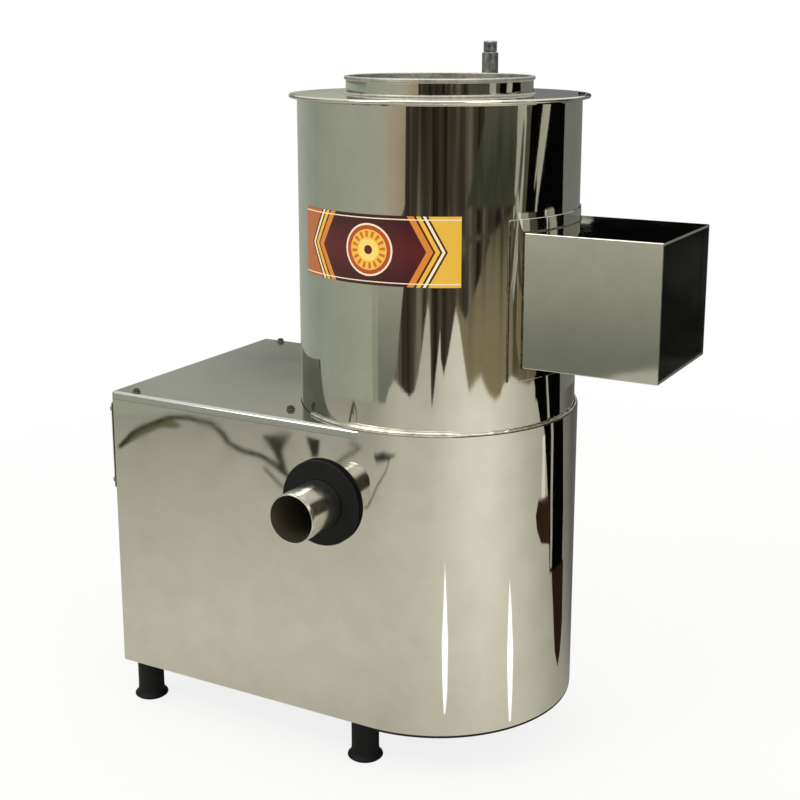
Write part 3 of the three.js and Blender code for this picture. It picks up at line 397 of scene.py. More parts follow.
def combined(operation, body, tools):
    """Cuts or joins closed bodies."""
    for shape in [body, *tools]:
        bmesh.ops.recalc_face_normals(shape, faces=shape.faces)
    objects = [linked("working", mesh_of(shape)) for shape in [body, *tools]]
    for tool in objects[1:]:
        modifier = objects[0].modifiers.new("combine", "BOOLEAN")
        modifier.operation = operation
        modifier.solver = "EXACT"
        modifier.object = tool
    result = bmesh.new()
    result.from_object(objects[0], bpy.context.evaluated_depsgraph_get())
    for working in objects:
        mesh = working.data
        bpy.data.objects.remove(working)
        bpy.data.meshes.remove(mesh)
    return result


def carved(body, tools):
    return combined("DIFFERENCE", body, tools)


def united(body, others):
    return combined("UNION", body, others)


def merged(bodies):
    """Several separate bodies in one mesh."""
    result = bmesh.new()
    for shape in bodies:
        mesh = mesh_of(shape)
        result.from_mesh(mesh)
        bpy.data.meshes.remove(mesh)
    return result


def bead(points, radii, sides):
    """A round bead along points, whose radius may change from point to point."""
    body = bmesh.new()
    rings = []
    side = (points[1] - points[0]).orthogonal()
    for i, (point, radius) in enumerate(zip(points, radii)):
        ahead = (points[min(i + 1, len(points) - 1)] - points[max(i - 1, 0)]).normalized()
        side = (side - ahead * side.dot(ahead)).normalized()
        up = ahead.cross(side)
        turns = [math.tau * k / sides for k in range(sides)]
        rings.append([body.verts.new(point + radius * (side * math.cos(turn) + up * math.sin(turn)))
                      for turn in turns])
    for ring, onward in zip(rings, rings[1:]):
        for k in range(sides):
            body.faces.new((ring[k - 1], ring[k], onward[k], onward[k - 1]))
    body.faces.new(rings[0])
    body.faces.new(rings[-1])
    bmesh.ops.recalc_face_normals(body, faces=body.faces)
    return body


def pipe(points, radius, sides=SMALL_STEPS):
    return bead(points, [radius] * len(points), sides)


def placed(name, mesh, material):
    """Puts a mesh in millimetres in its place in the scene."""
    mesh.transform(INTO_SCENE)
    mesh.materials.append(material)
    return linked(name, mesh)


def piece(name, body, finish, nodes=(), rides="housing", normal=None):
    """Makes a finished piece of a body. normal(place, face_normal) gives the true normal of a
    curved sheet, so that it mirrors cleanly round its cut-outs."""
    bmesh.ops.recalc_face_normals(body, faces=body.faces)
    bmesh.ops.delete(body, geom=[v for v in body.verts if not v.link_faces], context="VERTS")
    mesh = mesh_of(body, name)
    mesh.shade_smooth()
    mesh.set_sharp_from_angle(angle=math.radians(SHARP_ANGLE))
    if normal:
        mesh.normals_split_custom_set([
            normal(mesh.vertices[mesh.loops[i].vertex_index].co, face.normal)
            for face in mesh.polygons for i in face.loop_indices
        ])
    material, slot = FINISHES[finish]
    made = placed(name, mesh, material)
    if not normal:
        made.modifiers.new("even_shading", "WEIGHTED_NORMAL").keep_sharp = True
    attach(made, rides)
    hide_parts(*nodes)
    return made


def refinish(made, finish, picks):
    """Gives another finish to the faces that picks(face) chooses."""
    made.data.materials.append(FINISHES[finish][0])
    for face in made.data.polygons:
        face.material_index = int(picks(face))


def looks_inward(face):
    """Whether a face of a ring looks at the drum's axis."""
    out = face.center - AXIS
    return face.normal.x * out.x + face.normal.y * out.y < -0.5 * out.to_2d().length


def drum_normal(place, face_normal):
    """True normal of a sheet rolled round the drum's axis."""
    out = Vector((place.x, place.y, 0)).normalized()
    side = face_normal.dot(out)
    return out * math.copysign(1, side) if abs(side) > 0.99 else face_normal


# Camera, at the place found from the photograph's straight edges and rings
CAMERA_FROM_AXIS = Vector((892.1, -1728.6, 1032.4))
CAMERA_YAW = -28.93
CAMERA_PITCH = 12.70
FOCAL_PIXELS = 1364.9
HORIZON_PIXEL = 335
FRAME_PIXELS = 800
SENSOR_WIDTH = 36


def make_camera():
    lens = bpy.data.cameras.new("photo_camera")
    lens.sensor_width = SENSOR_WIDTH
    lens.lens = FOCAL_PIXELS / FRAME_PIXELS * SENSOR_WIDTH
    lens.shift_y = (HORIZON_PIXEL - FRAME_PIXELS / 2) / FRAME_PIXELS
    lens.clip_start = 0.05
    camera = linked("photo_camera", lens)
    camera.location = AXIS + CAMERA_FROM_AXIS * MM
    camera.rotation_euler = (math.radians(90 - CAMERA_PITCH), 0, math.radians(-CAMERA_YAW))
    bpy.context.scene.camera = camera


# Stage: a pale floor, soft lamps, and studio cards that only the polished steel mirrors.
# Angles round the machine are in degrees from the camera's side, positive to the right as the camera sees it.
CAMERA_SIDE = math.degrees(math.atan2(CAMERA_FROM_AXIS.y, CAMERA_FROM_AXIS.x))
CARD_DISTANCE = 2100
FLAG_DISTANCE = 800
CARD_TOP = 1500
CARD_STEP = 2

# The floor, in metres: its size, where its mirrored tone starts to change, and where it fades to plain white
FLOOR_SIZE = 60.0
TONE_FROM = 0.5
FADE_FROM, FADE_TO = 0.7, 2.4
FADE_LEAST = 0.84

# How bright the mirrored floor is by angle, at the machine's foot and at the cards
FLOOR_NEAR = [(-180, 0.8), (-60, 0.8), (-30, 0.74), (-14, 0.78), (1, 0.84), (16, 0.9), (31, 0.98), (47, 0.96),
              (65, 0.82), (80, 0.7), (100, 0.55), (118, 0.36), (138, 0.16), (180, 0.2)]
FLOOR_FAR = [(-180, 0.42), (-84, 0.42), (-54, 0.38), (-29, 0.66), (-4, 0.7), (9, 0.88), (25, 1.02),
             (41, 1.04), (58, 0.88), (73, 0.7), (100, 0.5), (118, 0.28), (138, 0.14), (180, 0.2)]


def make_floor():
    """Pale paper that fades to plain white away from the machine. In mirrors it shows pools of light."""
    material, tree = blank_material("pale_studio_floor")
    path = add(tree, "LightPath")
    where = add(tree, "TexCoord").outputs["Object"]
    aside = add(tree, "Mapping", {"Vector": where, "Location": -AXIS})
    turned = add(tree, "VectorRotate", {"Vector": aside.outputs[0], "Angle": math.radians(-CAMERA_SIDE)},
                 rotation_type="Z_AXIS")
    split = add(tree, "SeparateXYZ", {"Vector": turned.outputs[0]})
    angle = add(tree, "Math", {0: split.outputs["Y"], 1: split.outputs["X"]}, operation="ARCTAN2")
    around = add(tree, "MapRange", {"Value": angle.outputs[0], "From Min": -math.pi, "From Max": math.pi})
    away = add(tree, "VectorMath", {0: aside.outputs[0]}, operation="LENGTH").outputs["Value"]
    near, far = (ramp(tree, around.outputs[0], [((turn + 180) / 360, grey(value)) for turn, value in tones])
                 for tones in (FLOOR_NEAR, FLOOR_FAR))
    out = add(tree, "MapRange", {"Value": away, "From Min": TONE_FROM, "From Max": CARD_DISTANCE * MM})
    pool = add(tree, "Mix", {"Factor": out.outputs[0], "A": near, "B": far}, data_type="RGBA")
    mirrored = path.outputs["Is Glossy Ray"]
    tone = add(tree, "Mix", {"Factor": mirrored, "A": grey(1), "B": pool.outputs["Result"]}, data_type="RGBA")
    paint = add(tree, "Mix", {"Factor": 1.0, "A": colour("#E6E3DA"), "B": tone.outputs["Result"]},
                data_type="RGBA", blend_type="MULTIPLY")
    matt = add(tree, "BsdfDiffuse", {"Color": paint.outputs["Result"]})
    paper = add(tree, "Emission", {"Color": grey(1), "Strength": 1.0})
    white = add(tree, "MapRange", {"Value": away, "From Min": FADE_FROM, "From Max": FADE_TO,
                                   "To Min": FADE_LEAST, "To Max": 1.0})
    share = add(tree, "Math", {0: path.outputs["Is Camera Ray"], 1: white.outputs[0]}, operation="MULTIPLY")
    mix = add(tree, "MixShader", {0: share.outputs[0], 1: matt.outputs[0], 2: paper.outputs[0]})
    add(tree, "OutputMaterial", {"Surface": mix.outputs[0]})
    body = bmesh.new()
    bmesh.ops.create_grid(body, x_segments=1, y_segments=1, size=FLOOR_SIZE / 2)
    mesh = mesh_of(body, "floor")
    mesh.materials.append(material)
    linked("floor", mesh)


def plain(tone):
    return [(0.0, tone), (1.0, tone)]


# Looks of the cards: shades across a card, or up it over a reach in metres, and how far streaks break them
CARD_LOOKS = {
    "grey_green_wall": {"shades": [(0.0, "#B2B2A4"), (0.2, "#B2B3A6"), (0.32, "#ADB3B0"), (0.5, "#A0A9A0"),
                                   (0.68, "#ACB1A5"), (0.84, "#B3B7AC"), (1.0, "#B6B6A8")]},
    "grey_green_foot": {"shades": [(0.0, "#7A7E76"), (0.23, "#82867D"), (0.55, "#9E9F96"), (0.86, "#B6B6A9"),
                                   (1.0, "#B8B9AE")], "reach": 0.5},
    "grey_green_step": {"shades": [(0.0, "#9DA197"), (0.4, "#A2A69B"), (0.86, "#B6B6A9")], "reach": 0.5},
    "dim_corner": {"shades": [(0.0, "#6E706B"), (0.53, "#81837D"), (0.71, "#989A96"), (0.83, "#A6ABA3"),
                              (1.0, "#B0B1A5")]},
    "dim_wall": {"shades": [(0.0, "#B0B1A5"), (0.12, "#71756C"), (0.94, "#6F736A"), (1.0, "#8E9187")]},
    "warm_wall": {"shades": [(0.0, "#BDB2A0"), (1.0, "#AD9C88")]},
    "light_wall": {"shades": [(0.0, "#B3B0A4"), (1.0, "#BAB9B0")]},
    "mid_grey_wall": {"shades": [(0.0, "#7E807E"), (1.0, "#787B78")]},
    "dark_hall": {"shades": [(0.0, "#17110B"), (0.5, "#463F38"), (1.0, "#8A8476")],
                  "streaks": 2.4, "start": 0.47, "reach": 99},
    "olive_hall": {"shades": [(0.1, "#908668"), (0.3, "#897F68"), (0.45, "#7A735D"), (0.62, "#4C4B3E"),
                              (0.78, "#3E4239"), (1.0, "#57554C")], "streaks": 0.75, "reach": 0.8},
    "umber_hall": {"shades": [(0.0, "#857C64"), (0.2, "#5B5340"), (0.5, "#4C4B3E"), (1.0, "#565548")],
                   "streaks": 0.3, "reach": 0.8},
    "black_flag": {"shades": [(0.0, "#050505"), (1.0, "#070606")]},
    "brown_box_and_shadow": {"shades": [(0.0, "#2E1F18"), (1.0, "#402820")]},
    "pale_frame": {"shades": plain("#F6F4EC")},
    "grey_cable": {"shades": plain("#37372F")},
    "olive_sack": {"shades": plain("#6A6852")},
    "strip_lamp_glare": {"shades": plain("#F6F8FF"), "strength": 2.0},
}

# Each card's name, look and distance, its foot as (angle, height) points, and the rows above it, each a
# height with the first and last angle there
CARDS = [
    ("wall_left", "grey_green_wall", CARD_DISTANCE + 4, [(-180, -40), (-40, -40)], [(CARD_TOP, -180, -40)]),
    ("wall_left_dim", "dim_corner", CARD_DISTANCE + 3, [(-180, 860), (-156, 860)], [(1024, -180, -156)]),
    ("wall_left_shadow", "dim_wall", CARD_DISTANCE + 3, [(-156, 878), (-96, 878)], [(1400, -156, -96)]),
    ("wall_left_step", "grey_green_step", CARD_DISTANCE + 3, [(-52, -40), (-47, -40)], [(500, -52, -47)]),
    ("wall_left_low", "grey_green_foot", CARD_DISTANCE + 3, [(-47, -40), (-42, -10), (-38, 55), (-33, 92)],
     [(500, -47, -22)]),
    ("wall_warm", "warm_wall", CARD_DISTANCE + 3, [(-40, 500), (-23, 500)], [(CARD_TOP, -40, -23)]),
    ("hall_dark", "dark_hall", CARD_DISTANCE + 2,
     [(-34, 90), (-33, 85), (-29, 65), (-25, 45), (-21.5, 30), (-17.7, 50), (-14.7, 103), (-12.4, 165),
      (-10, 237), (-8.3, 298), (-6.5, 278), (-5.4, 180), (-4.6, 5), (-3.5, 22), (-2, 110), (-0.9, 250),
      (0.6, 298), (1.7, 250), (2.4, 150), (4.7, 103), (6.9, 143), (8, 222), (9.9, 292), (12.2, 306),
      (20, 240)],
     [(480, -33, 40), (560, -25, 60), (CARD_TOP, -24, 61)]),
    ("hall_olive", "olive_hall", CARD_DISTANCE,
     [(11, 310), (15.8, 244), (18.8, 180), (21.8, 108), (24.1, 57), (26.4, 65), (29.5, 86), (33.4, 97),
      (36.6, 66), (40.6, 31), (45.4, 11), (49.6, 22), (52.1, 56), (55.5, 72), (59, 90)],
     [(553, 20, 58), (790, 34, 60.5), (1500, 45, 66)]),
    ("wall_light_1", "light_wall", CARD_DISTANCE + 3, [(53.5, 285), (58.5, 290)],
     [(553, 57.5, 66), (790, 61, 69), (1500, 75, 82)]),
    ("hall_umber", "umber_hall", CARD_DISTANCE + 3, [(52, 95), (60, 80), (66, 60), (76, 45), (84, 60)],
     [(290, 52, 77), (553, 60, 75), (790, 66, 74.5), (1500, 78, 95)]),
    ("hall_dark_2", "black_flag", CARD_DISTANCE + 2, [(66, 300), (74, 300)],
     [(790, 73, 84), (1500, 95, 104)]),
    ("wall_light_2", "light_wall", CARD_DISTANCE, [(73, 500), (80, 500)],
     [(553, 75, 81), (790, 83.5, 92), (1500, 114, 124)]),
    ("hall_black", "black_flag", CARD_DISTANCE + 1, [(84, -40), (113, -40)],
     [(110, 82, 113), (300, 76, 113), (553, 81, 113), (790, 92, 113), (CARD_TOP, 92, 113)]),
    ("wall_right", "mid_grey_wall", CARD_DISTANCE + 3, [(113, -40), (180, -40)], [(CARD_TOP, 113, 180)]),
    ("back_dark", "black_flag", CARD_DISTANCE, [(156, 1020), (169, 1020)], [(1400, 156, 169)]),
    ("back_patch", "light_wall", CARD_DISTANCE - 2, [(167.4, 1050), (168.8, 1050)], [(1068, 167.8, 169.2)]),
    ("near_flag", "black_flag", FLAG_DISTANCE, [(95.5, 0), (115.2, 0)],
     [(113, 92.5, 114.6), (217, 88.5, 112), (295, 85, 110.2), (408, 74.5, 108)]),
    ("near_slit", "light_wall", FLAG_DISTANCE - 2, [(96.0, 10), (98.2, 10)],
     [(70, 95.4, 97.8), (152, 94.2, 96.8), (288, 93.0, 95.8), (400, 88.6, 90.6)]),
    ("near_edge", "pale_frame", FLAG_DISTANCE - 2, [(83.4, 150), (87.6, 150)], [(291, 83.0, 85.6)]),
    ("near_box", "brown_box_and_shadow", FLAG_DISTANCE - 3, [(79, 108), (84, 76), (93.8, 64)],
     [(135, 77.6, 93), (162, 80, 92)]),
]

# Things on the studio floor, which the polished base mirrors: cables, and flat outlines with a height
CABLE_RADIUS = 6.5
THIN_CABLE_RADIUS = CABLE_RADIUS * 0.6
CABLES = [
    ([(-1310, -1205), (-1355, -1305), (-1380, -1405), (-1385, -1490), (-1325, -1520), (-1240, -1505),
      (-1155, -1435), (-1080, -1360), (-1015, -1325), (-960, -1330), (-900, -1300), (-830, -1250),
      (-760, -1190), (-690, -1130)],
     CABLE_RADIUS),
    ([(-905, -1260), (-790, -1170), (-705, -1110)], THIN_CABLE_RADIUS),
    ([(-820, -1515), (-780, -1485), (-760, -1365)], THIN_CABLE_RADIUS),
    ([(-250, -1615), (-300, -1505), (-440, -1340), (-560, -1145)], THIN_CABLE_RADIUS),
]
FLOOR_MARKS = [
    ("floor_dark_patches", "grey_cable", 1.0,
     [[(-1070, -1500), (-1005, -1515), (-945, -1405), (-825, -1255), (-875, -1295), (-955, -1385)],
      [(-950, -1505), (-900, -1505), (-835, -1390), (-850, -1380)],
      [(-625, -1525), (-535, -1500), (-275, -1610), (-80, -1690), (-410, -1635)]]),
    # Painted shadow: a brown patch on the floor at the near flag's foot, which only mirrors show
    ("floor_painted_shadow", "brown_box_and_shadow", 1.0,
     [[(700, 505), (470, 655), (355, 400), (325, 280), (320, 210), (380, 245), (505, 360)]]),
    ("floor_olive_patch", "olive_sack", 2.0,
     [[(-1305, -1205), (-1355, -1295), (-1380, -1390), (-1415, -1490), (-1400, -1510), (-1300, -1455),
       (-1295, -1425), (-1345, -1415), (-1330, -1335), (-1315, -1255)]]),
    ("floor_glare", "strip_lamp_glare", 1.0,
     [[(550, -835), (462, -675), (376, -528), (265, -384), (214, -328), (207, -327), (245, -396), (339, -557),
       (441, -691)],
      [(860, -114), (720, -89), (555, -76), (410, -88), (310, -100), (310, -105), (410, -112), (555, -124),
       (720, -121)]]),
]


def card_material(name, shades, streaks=0.0, start=0.0, reach=None, strength=1.0):
    """A glowing card. Its shades run across it, or up it over a reach; upright streaks break them."""
    material, tree = blank_material(name)
    where = add(tree, "TexCoord").outputs["Object"]
    split = add(tree, "SeparateXYZ", {"Vector": add(tree, "UVMap", uv_map="card").outputs[0]})
    place = split.outputs["Y" if reach else "X"]
    stretched = add(tree, "Mapping", {"Vector": where, "Scale": (1, 1, 0.12)})
    streak = add(tree, "TexNoise", {"Vector": stretched.outputs[0], "Scale": per_metre(190), "Detail": 2.0})
    shift = add(tree, "Math", {0: streak.outputs["Fac"], 1: 0.5}, operation="SUBTRACT")
    climb = add(tree, "Math", {0: place, 1: 1 / (reach or 1), 2: start}, operation="MULTIPLY_ADD")
    wander = add(tree, "Math", {0: shift.outputs[0], 1: streaks, 2: climb.outputs[0]},
                 operation="MULTIPLY_ADD")
    glow = add(tree, "Emission", {"Color": ramp(tree, wander.outputs[0], shades), "Strength": strength})
    add(tree, "OutputMaterial", {"Surface": glow.outputs[0]})
    return material


def staged(name, body, material):
    """Puts a body of the stage in place; only mirrors show it."""
    made = placed(name, mesh_of(body, name), material)
    made.visible_camera = False
    made.visible_diffuse = False
    made.visible_shadow = False
    made.visible_transmission = False


def card(name, material, distance, foot, rows):
    """A curved card round the machine, from its foot up through its rows."""
    body = bmesh.new()
    spots = body.loops.layers.uv.new("card")
    line = []
    for (angle, height), (onward, onward_height) in zip(foot, foot[1:]):
        steps = max(1, math.ceil((onward - angle) / CARD_STEP))
        line += list(zip(evenly(angle, onward, steps), evenly(height, onward_height, steps)))[:-1]
    line.append(foot[-1])
    first, last = foot[0][0], foot[-1][0]
    shares = [(angle - first) / (last - first) for angle, _ in line]
    grid = [line]
    grid += [[(left + (right - left) * share, height) for share in shares] for height, left, right in rows]
    points = [[body.verts.new(polar(distance, CAMERA_SIDE + angle, height)) for angle, height in row]
              for row in grid]
    for lower, upper in zip(points, points[1:]):
        for k in range(len(shares) - 1):
            face = body.faces.new((lower[k], lower[k + 1], upper[k + 1], upper[k]))
            for loop, share in zip(face.loops, (shares[k], shares[k + 1], shares[k + 1], shares[k])):
                loop[spots].uv = (share, loop.vert.co.z * MM)
    staged(name, body, material)


def floor_patch(outline, height):
    body = bmesh.new()
    body.faces.new([body.verts.new((x, y, height)) for x, y in outline])
    return body


def make_surroundings():
    looks = {name: card_material(name, **look) for name, look in CARD_LOOKS.items()}
    for name, look, distance, foot, rows in CARDS:
        card(name, looks[look], distance, foot, rows)
    cables = [pipe([Vector((x, y, radius)) for x, y in line], radius, 8) for line, radius in CABLES]
    staged("floor_cables", merged(cables), looks["grey_cable"])
    for name, look, height, outlines in FLOOR_MARKS:
        staged(name, merged([floor_patch(outline, height) for outline in outlines]), looks[look])


# Lamps: place and target in metres, side of the square, and watts
LAMPS = [
    ("key", (-1.6, -2.6, 3.0), (0, 0, 0.5), 1.6, 40),
    ("fill", (2.6, -1.4, 2.4), (0, 0, 0.5), 1.4, 18),
    ("top", (0, 0.3, 3.4), (0, 0, 0), 2.0, 26),
]


def make_light():
    """Soft lamps, in a world that cameras and mirrors see as white."""
    world = bpy.data.worlds.new("soft_studio")
    world.use_nodes = True
    tree = world.node_tree
    tree.nodes.clear()
    path = add(tree, "LightPath")
    seen = path.outputs["Is Camera Ray"]
    for kind in ("Is Glossy Ray", "Is Transmission Ray"):
        seen = add(tree, "Math", {0: seen, 1: path.outputs[kind]}, operation="MAXIMUM").outputs[0]
    soft = add(tree, "Background", {"Color": colour("#F2F3F3"), "Strength": 0.9})
    white = add(tree, "Background", {"Color": grey(1), "Strength": 1.0})
    mix = add(tree, "MixShader", {0: seen, 1: soft.outputs[0], 2: white.outputs[0]})
    add(tree, "OutputWorld", {"Surface": mix.outputs[0]})
    bpy.context.scene.world = world
    for name, place, target, side, power in LAMPS:
        light = bpy.data.lights.new(name, "AREA")
        light.shape = "SQUARE"
        light.size = side
        light.energy = power
        lamp = linked(name, light)
        lamp.location = place
        lamp.rotation_euler = (Vector(target) - Vector(place)).to_track_quat("-Z", "Y").to_euler()


# Base wrap: one sheet bent round the D, with vents and a panel window in its flat end
BEND = 6
SKIRT = 12
COVER_TAIL = 16
PIPE_HOLE = 36
WINDOW_HALF = 150
WINDOW_HEIGHT = 84
VENT_HALF = 70
VENT_HEIGHT = 7
VENT_PITCH = 18
VENT_BOTTOM = 55
VENT_COUNT = 6
# A black strip under the round end's bottom edge, as painted shade where its shadow line falls
SHADOW_STRIP_REACH = 88  # degrees to either side of +X
SHADOW_STRIP_SETBACK = 0.4
SHADOW_STRIP_WIDTH = 4
SHADOW_STRIP_HEIGHT = 3.7
SHADOW_STRIP_GAP = 0.1
SHADOW_STRIP_STEPS = 120


def square_half(start, inset):
    """The base's square half seen from above, from an open side to the flat end and its bends."""
    half, end, bend = HALF - inset, END + inset, BEND - inset
    return filleted([(start, half), (end, half, bend), (end, -half, bend), (start, -half)])


def d_outline(inset):
    """The base seen from above: straight sides, a flat end and a round end."""
    return arc(HALF - inset, -90, 90, DRUM_STEPS // 2) + square_half(0, inset)[1:-1]


def wrap_normal(place, face_normal):
    """True normal of the base wrap: radial round its bends, flat elsewhere."""
    if abs(face_normal.z) > 0.5:
        return face_normal
    if place.x > 0:
        return drum_normal(place, face_normal)
    centre = Vector((END + BEND, math.copysign(HALF - BEND, place.y), 0))
    out = Vector((place.x - centre.x, place.y - centre.y, 0))
    in_corner = place.x < centre.x + 0.1 and abs(place.y) > abs(centre.y) - 0.1
    if in_corner and out.length > BEND - SHEET - 1 and abs(face_normal.dot(out.normalized())) > 0.9:
        return out.normalized() * math.copysign(1, face_normal.dot(out))
    return face_normal


def across_end(x, level):
    """Stands a body that is drawn flat upright across the flat end, its height along +X."""
    return Matrix(((0, 0, 1, x), (1, 0, 0, 0), (0, 1, 0, level), (0, 0, 0, 1)))


def end_slot(level, half, height):
    """A slot through the flat end, with round ends."""
    return moved(prism(rounded_box(half, height / 2, height / 2.01), -BEYOND, BEYOND), across_end(END, level))


def make_base_wrap():
    shell = carved(prism(d_outline(0), BASE_LOW, DECK), [prism(d_outline(SHEET), 0, DECK + BEYOND)])
    x, _, z = centre_of("drain_pipe")
    aim = Matrix.Translation((x, 0, z)) @ Matrix.Rotation(math.radians(-90), 4, "X")
    tools = [
        block((END - BEYOND, -HALF - BEYOND, DECK - SKIRT - CLEAR),
              (-COVER_TAIL, HALF + BEYOND, DECK + BEYOND)),
        moved(rod(PIPE_HOLE, -HALF - BEYOND, -HALF + BEYOND), aim),
        end_slot(centre_of("switch_panel")[2], WINDOW_HALF, WINDOW_HEIGHT),
    ]
    tools += [end_slot(BASE_LOW + VENT_BOTTOM + VENT_HEIGHT / 2 + i * VENT_PITCH, VENT_HALF, VENT_HEIGHT)
              for i in range(VENT_COUNT)]
    piece("base_wrap", carved(shell, tools), "bright", ["base_shell"], normal=wrap_normal)


def make_edge_shadow_strip():
    """Painted shade: a strip in the black rubber finish under the round end's bottom edge, where the shadow
    line falls.
    """
    outer, top = HALF - SHADOW_STRIP_SETBACK, BASE_LOW - SHADOW_STRIP_GAP
    strip = arc_plate(outer - SHADOW_STRIP_WIDTH, outer, -SHADOW_STRIP_REACH, SHADOW_STRIP_REACH,
                      top - SHADOW_STRIP_HEIGHT, top, SHADOW_STRIP_STEPS)
    piece("edge_shadow_strip", soften(strip, 0.6), "rubber")


# Deck cover: plate with rounded edges and a folded skirt, cut out round the drum
COVER_EDGE = 5.6
COVER_GAP = 0.8
SCREW_HOLE = 3


def make_deck():
    body = prism(square_half(-COVER_TAIL, 0), DECK - SKIRT, DECK)
    soften(body, COVER_EDGE, 6, lambda e: min(v.co.z for v in e.verts) > DECK - 1
           and min(v.co.x for v in e.verts) < -COVER_TAIL - 1)
    tools = [prism(square_half(0, SHEET), DECK - SKIRT - BEYOND, DECK - SHEET),
             rod(DRUM + COVER_GAP, DECK - SKIRT - BEYOND, DECK + BEYOND, DRUM_STEPS)]
    tools += [moved(rod(SCREW_HOLE, DECK - BEYOND, DECK + BEYOND, SCREW_STEPS), upright(f"cover_screw_{i}"))
              for i in range(1, 5)]
    piece("deck_plate", carved(body, tools), "dull", ["deck_cover"])


# Screws: hexagon heads on a pressed washer face
SCREW_SHANK = 2.5
SCREW_DEPTH = 12
SCREW_TIP = 1.2
SCREW_RIDGE = 0.35
SCREW_WASHER = 6.5
SCREW_HEX = 5.4
SCREW_HEIGHT = 4.8


def screw_body():
    shank = [(SCREW_SHANK - (SCREW_RIDGE if k % 2 else 0), SCREW_TIP - SCREW_DEPTH + k * 0.5)
             for k in range(20)]
    stem = spun([(0, -SCREW_DEPTH), (1.4, -SCREW_DEPTH), *shank, (SCREW_SHANK, 0.6), (0, 0.6)], SCREW_STEPS)
    washer = spun([(0, 0), (SCREW_WASHER, 0, 0.2), (SCREW_WASHER, 0.9, 0.4), (SCREW_HEX + 0.2, 1.3),
                   (0, 1.3)], SMALL_STEPS)
    head = soften(prism(hexagon(SCREW_HEX), 1.0, SCREW_HEIGHT), 0.35)
    crown = spun([(0, SCREW_HEIGHT - 0.4), (SCREW_HEX * 0.8, SCREW_HEIGHT - 0.4),
                  (SCREW_HEX * 0.62, SCREW_HEIGHT), (0, SCREW_HEIGHT)], CROWN_STEPS)
    return merged([stem, washer, head, crown])


def make_screws():
    draw = random.Random(4)
    face = limits("switch_panel")[0].x - CLEAR
    for kind, aim in (("cover", Matrix()), ("panel", Matrix.Rotation(math.radians(-90), 4, "Y"))):
        for i in range(1, 5):
            x, y, z = centre_of(f"{kind}_screw_{i}")
            place = Matrix.Translation((x, y, DECK + CLEAR) if kind == "cover" else (face, y, z))
            turn = aim @ Matrix.Rotation(math.radians(draw.uniform(0, 60)), 4, "Z")
            piece(f"{kind}_bolt_{i}", moved(screw_body(), place @ turn), "zinc", [f"{kind}_screw_{i}"])


# Rubber feet: a flared sole, a leg, and a spigot that goes up through the base floor
FOOT_LEG = 20
FOOT_SPIGOT = 5
FOOT_SPIGOT_HEIGHT = 13


def make_feet():
    for i in range(1, 5):
        low, high = limits(f"foot_{i}")
        flare = (high.x - low.x) / 2
        top = BASE_LOW - CLEAR
        tip = top + FOOT_SPIGOT_HEIGHT
        profile = [(0, 0), (flare - 3, 0, 0.8), (flare, 2.4, 1.2), (flare - 0.6, 4.4, 1.5),
                   (FOOT_LEG + 0.6, 9, 4), (FOOT_LEG, 18), (FOOT_LEG, top, 1), (FOOT_SPIGOT, top),
                   (FOOT_SPIGOT, tip), (0, tip)]
        foot = moved(spun(profile, SMALL_STEPS), upright(f"foot_{i}"))
        piece(f"rubber_foot_{i}", foot, "rubber", [f"foot_{i}"])


# Drum: rolled sheet and its gritty lining, with the chute's passage cut out
CHUTE_FLANGE = 18
LINING = 4


def chute_faces():
    """Outer faces of the duct: its lowest and highest level, and its near and far side."""
    low, high = limits("discharge_chute")
    return low.z + CHUTE_FLANGE, high.z - CHUTE_FLANGE, low.y + CHUTE_FLANGE, high.y - CHUTE_FLANGE


def along_chute(start, end, inset):
    """A square body along the chute, this far inside its outer faces."""
    low, high, near, far = chute_faces()
    return block((start, near + inset, low + inset), (end, far - inset, high - inset))


def passage():
    """The space inside the chute, which also cuts the drum and its liner."""
    return along_chute(0, limits("discharge_chute")[1].x + BEYOND, SHEET)


def make_drum():
    low, high = limits("drum_shell")
    wall = spun([(DRUM - SHEET, low.z), (DRUM, low.z), (DRUM, high.z), (DRUM - SHEET, high.z)], DRUM_STEPS)
    drum = piece("drum_wall", carved(wall, [passage()]), "bright", ["drum_shell"], normal=drum_normal)
    refinish(drum, "mill", looks_inward)
    low, high = limits("drum_liner")
    inner = high.x - LINING
    lining = spun([(inner, low.z, 0.6), (high.x, low.z), (high.x, high.z), (inner, high.z, 0.6)], DRUM_STEPS)
    piece("grit_lining", carved(lining, [passage()]), "grit", ["drum_liner"])


# Drum top with its flared lip, and the feed collar with its rolled rim
COLLAR_ROLL = 2.5
COLLAR_RIM_BAND = 6.5
COLLAR_ROOT_BAND = 3.2
INLET_HOLE = 11


def make_lid():
    lip = limits("drum_top")[1].x
    hole = limits("feed_collar")[1].x - COLLAR_ROLL + CLEAR
    under = LID - SHEET
    root = DRUM + 0.4
    profile = [(hole, under), (root, under), (root, LID - 8), (root + 1, LID - 8, 0.3),
               (lip - 4.5, LID - 6, 3), (lip, LID - 5.6, 2.6), (lip, LID, 2.6), (lip - 8, LID - 0.6, 2),
               (hole, LID - 0.6)]
    bore = moved(rod(INLET_HOLE, under - BEYOND, LID + BEYOND, SMALL_STEPS), upright("water_inlet"))
    piece("drum_lid", carved(spun(profile, DRUM_STEPS), [bore]), "bright", ["drum_top"])


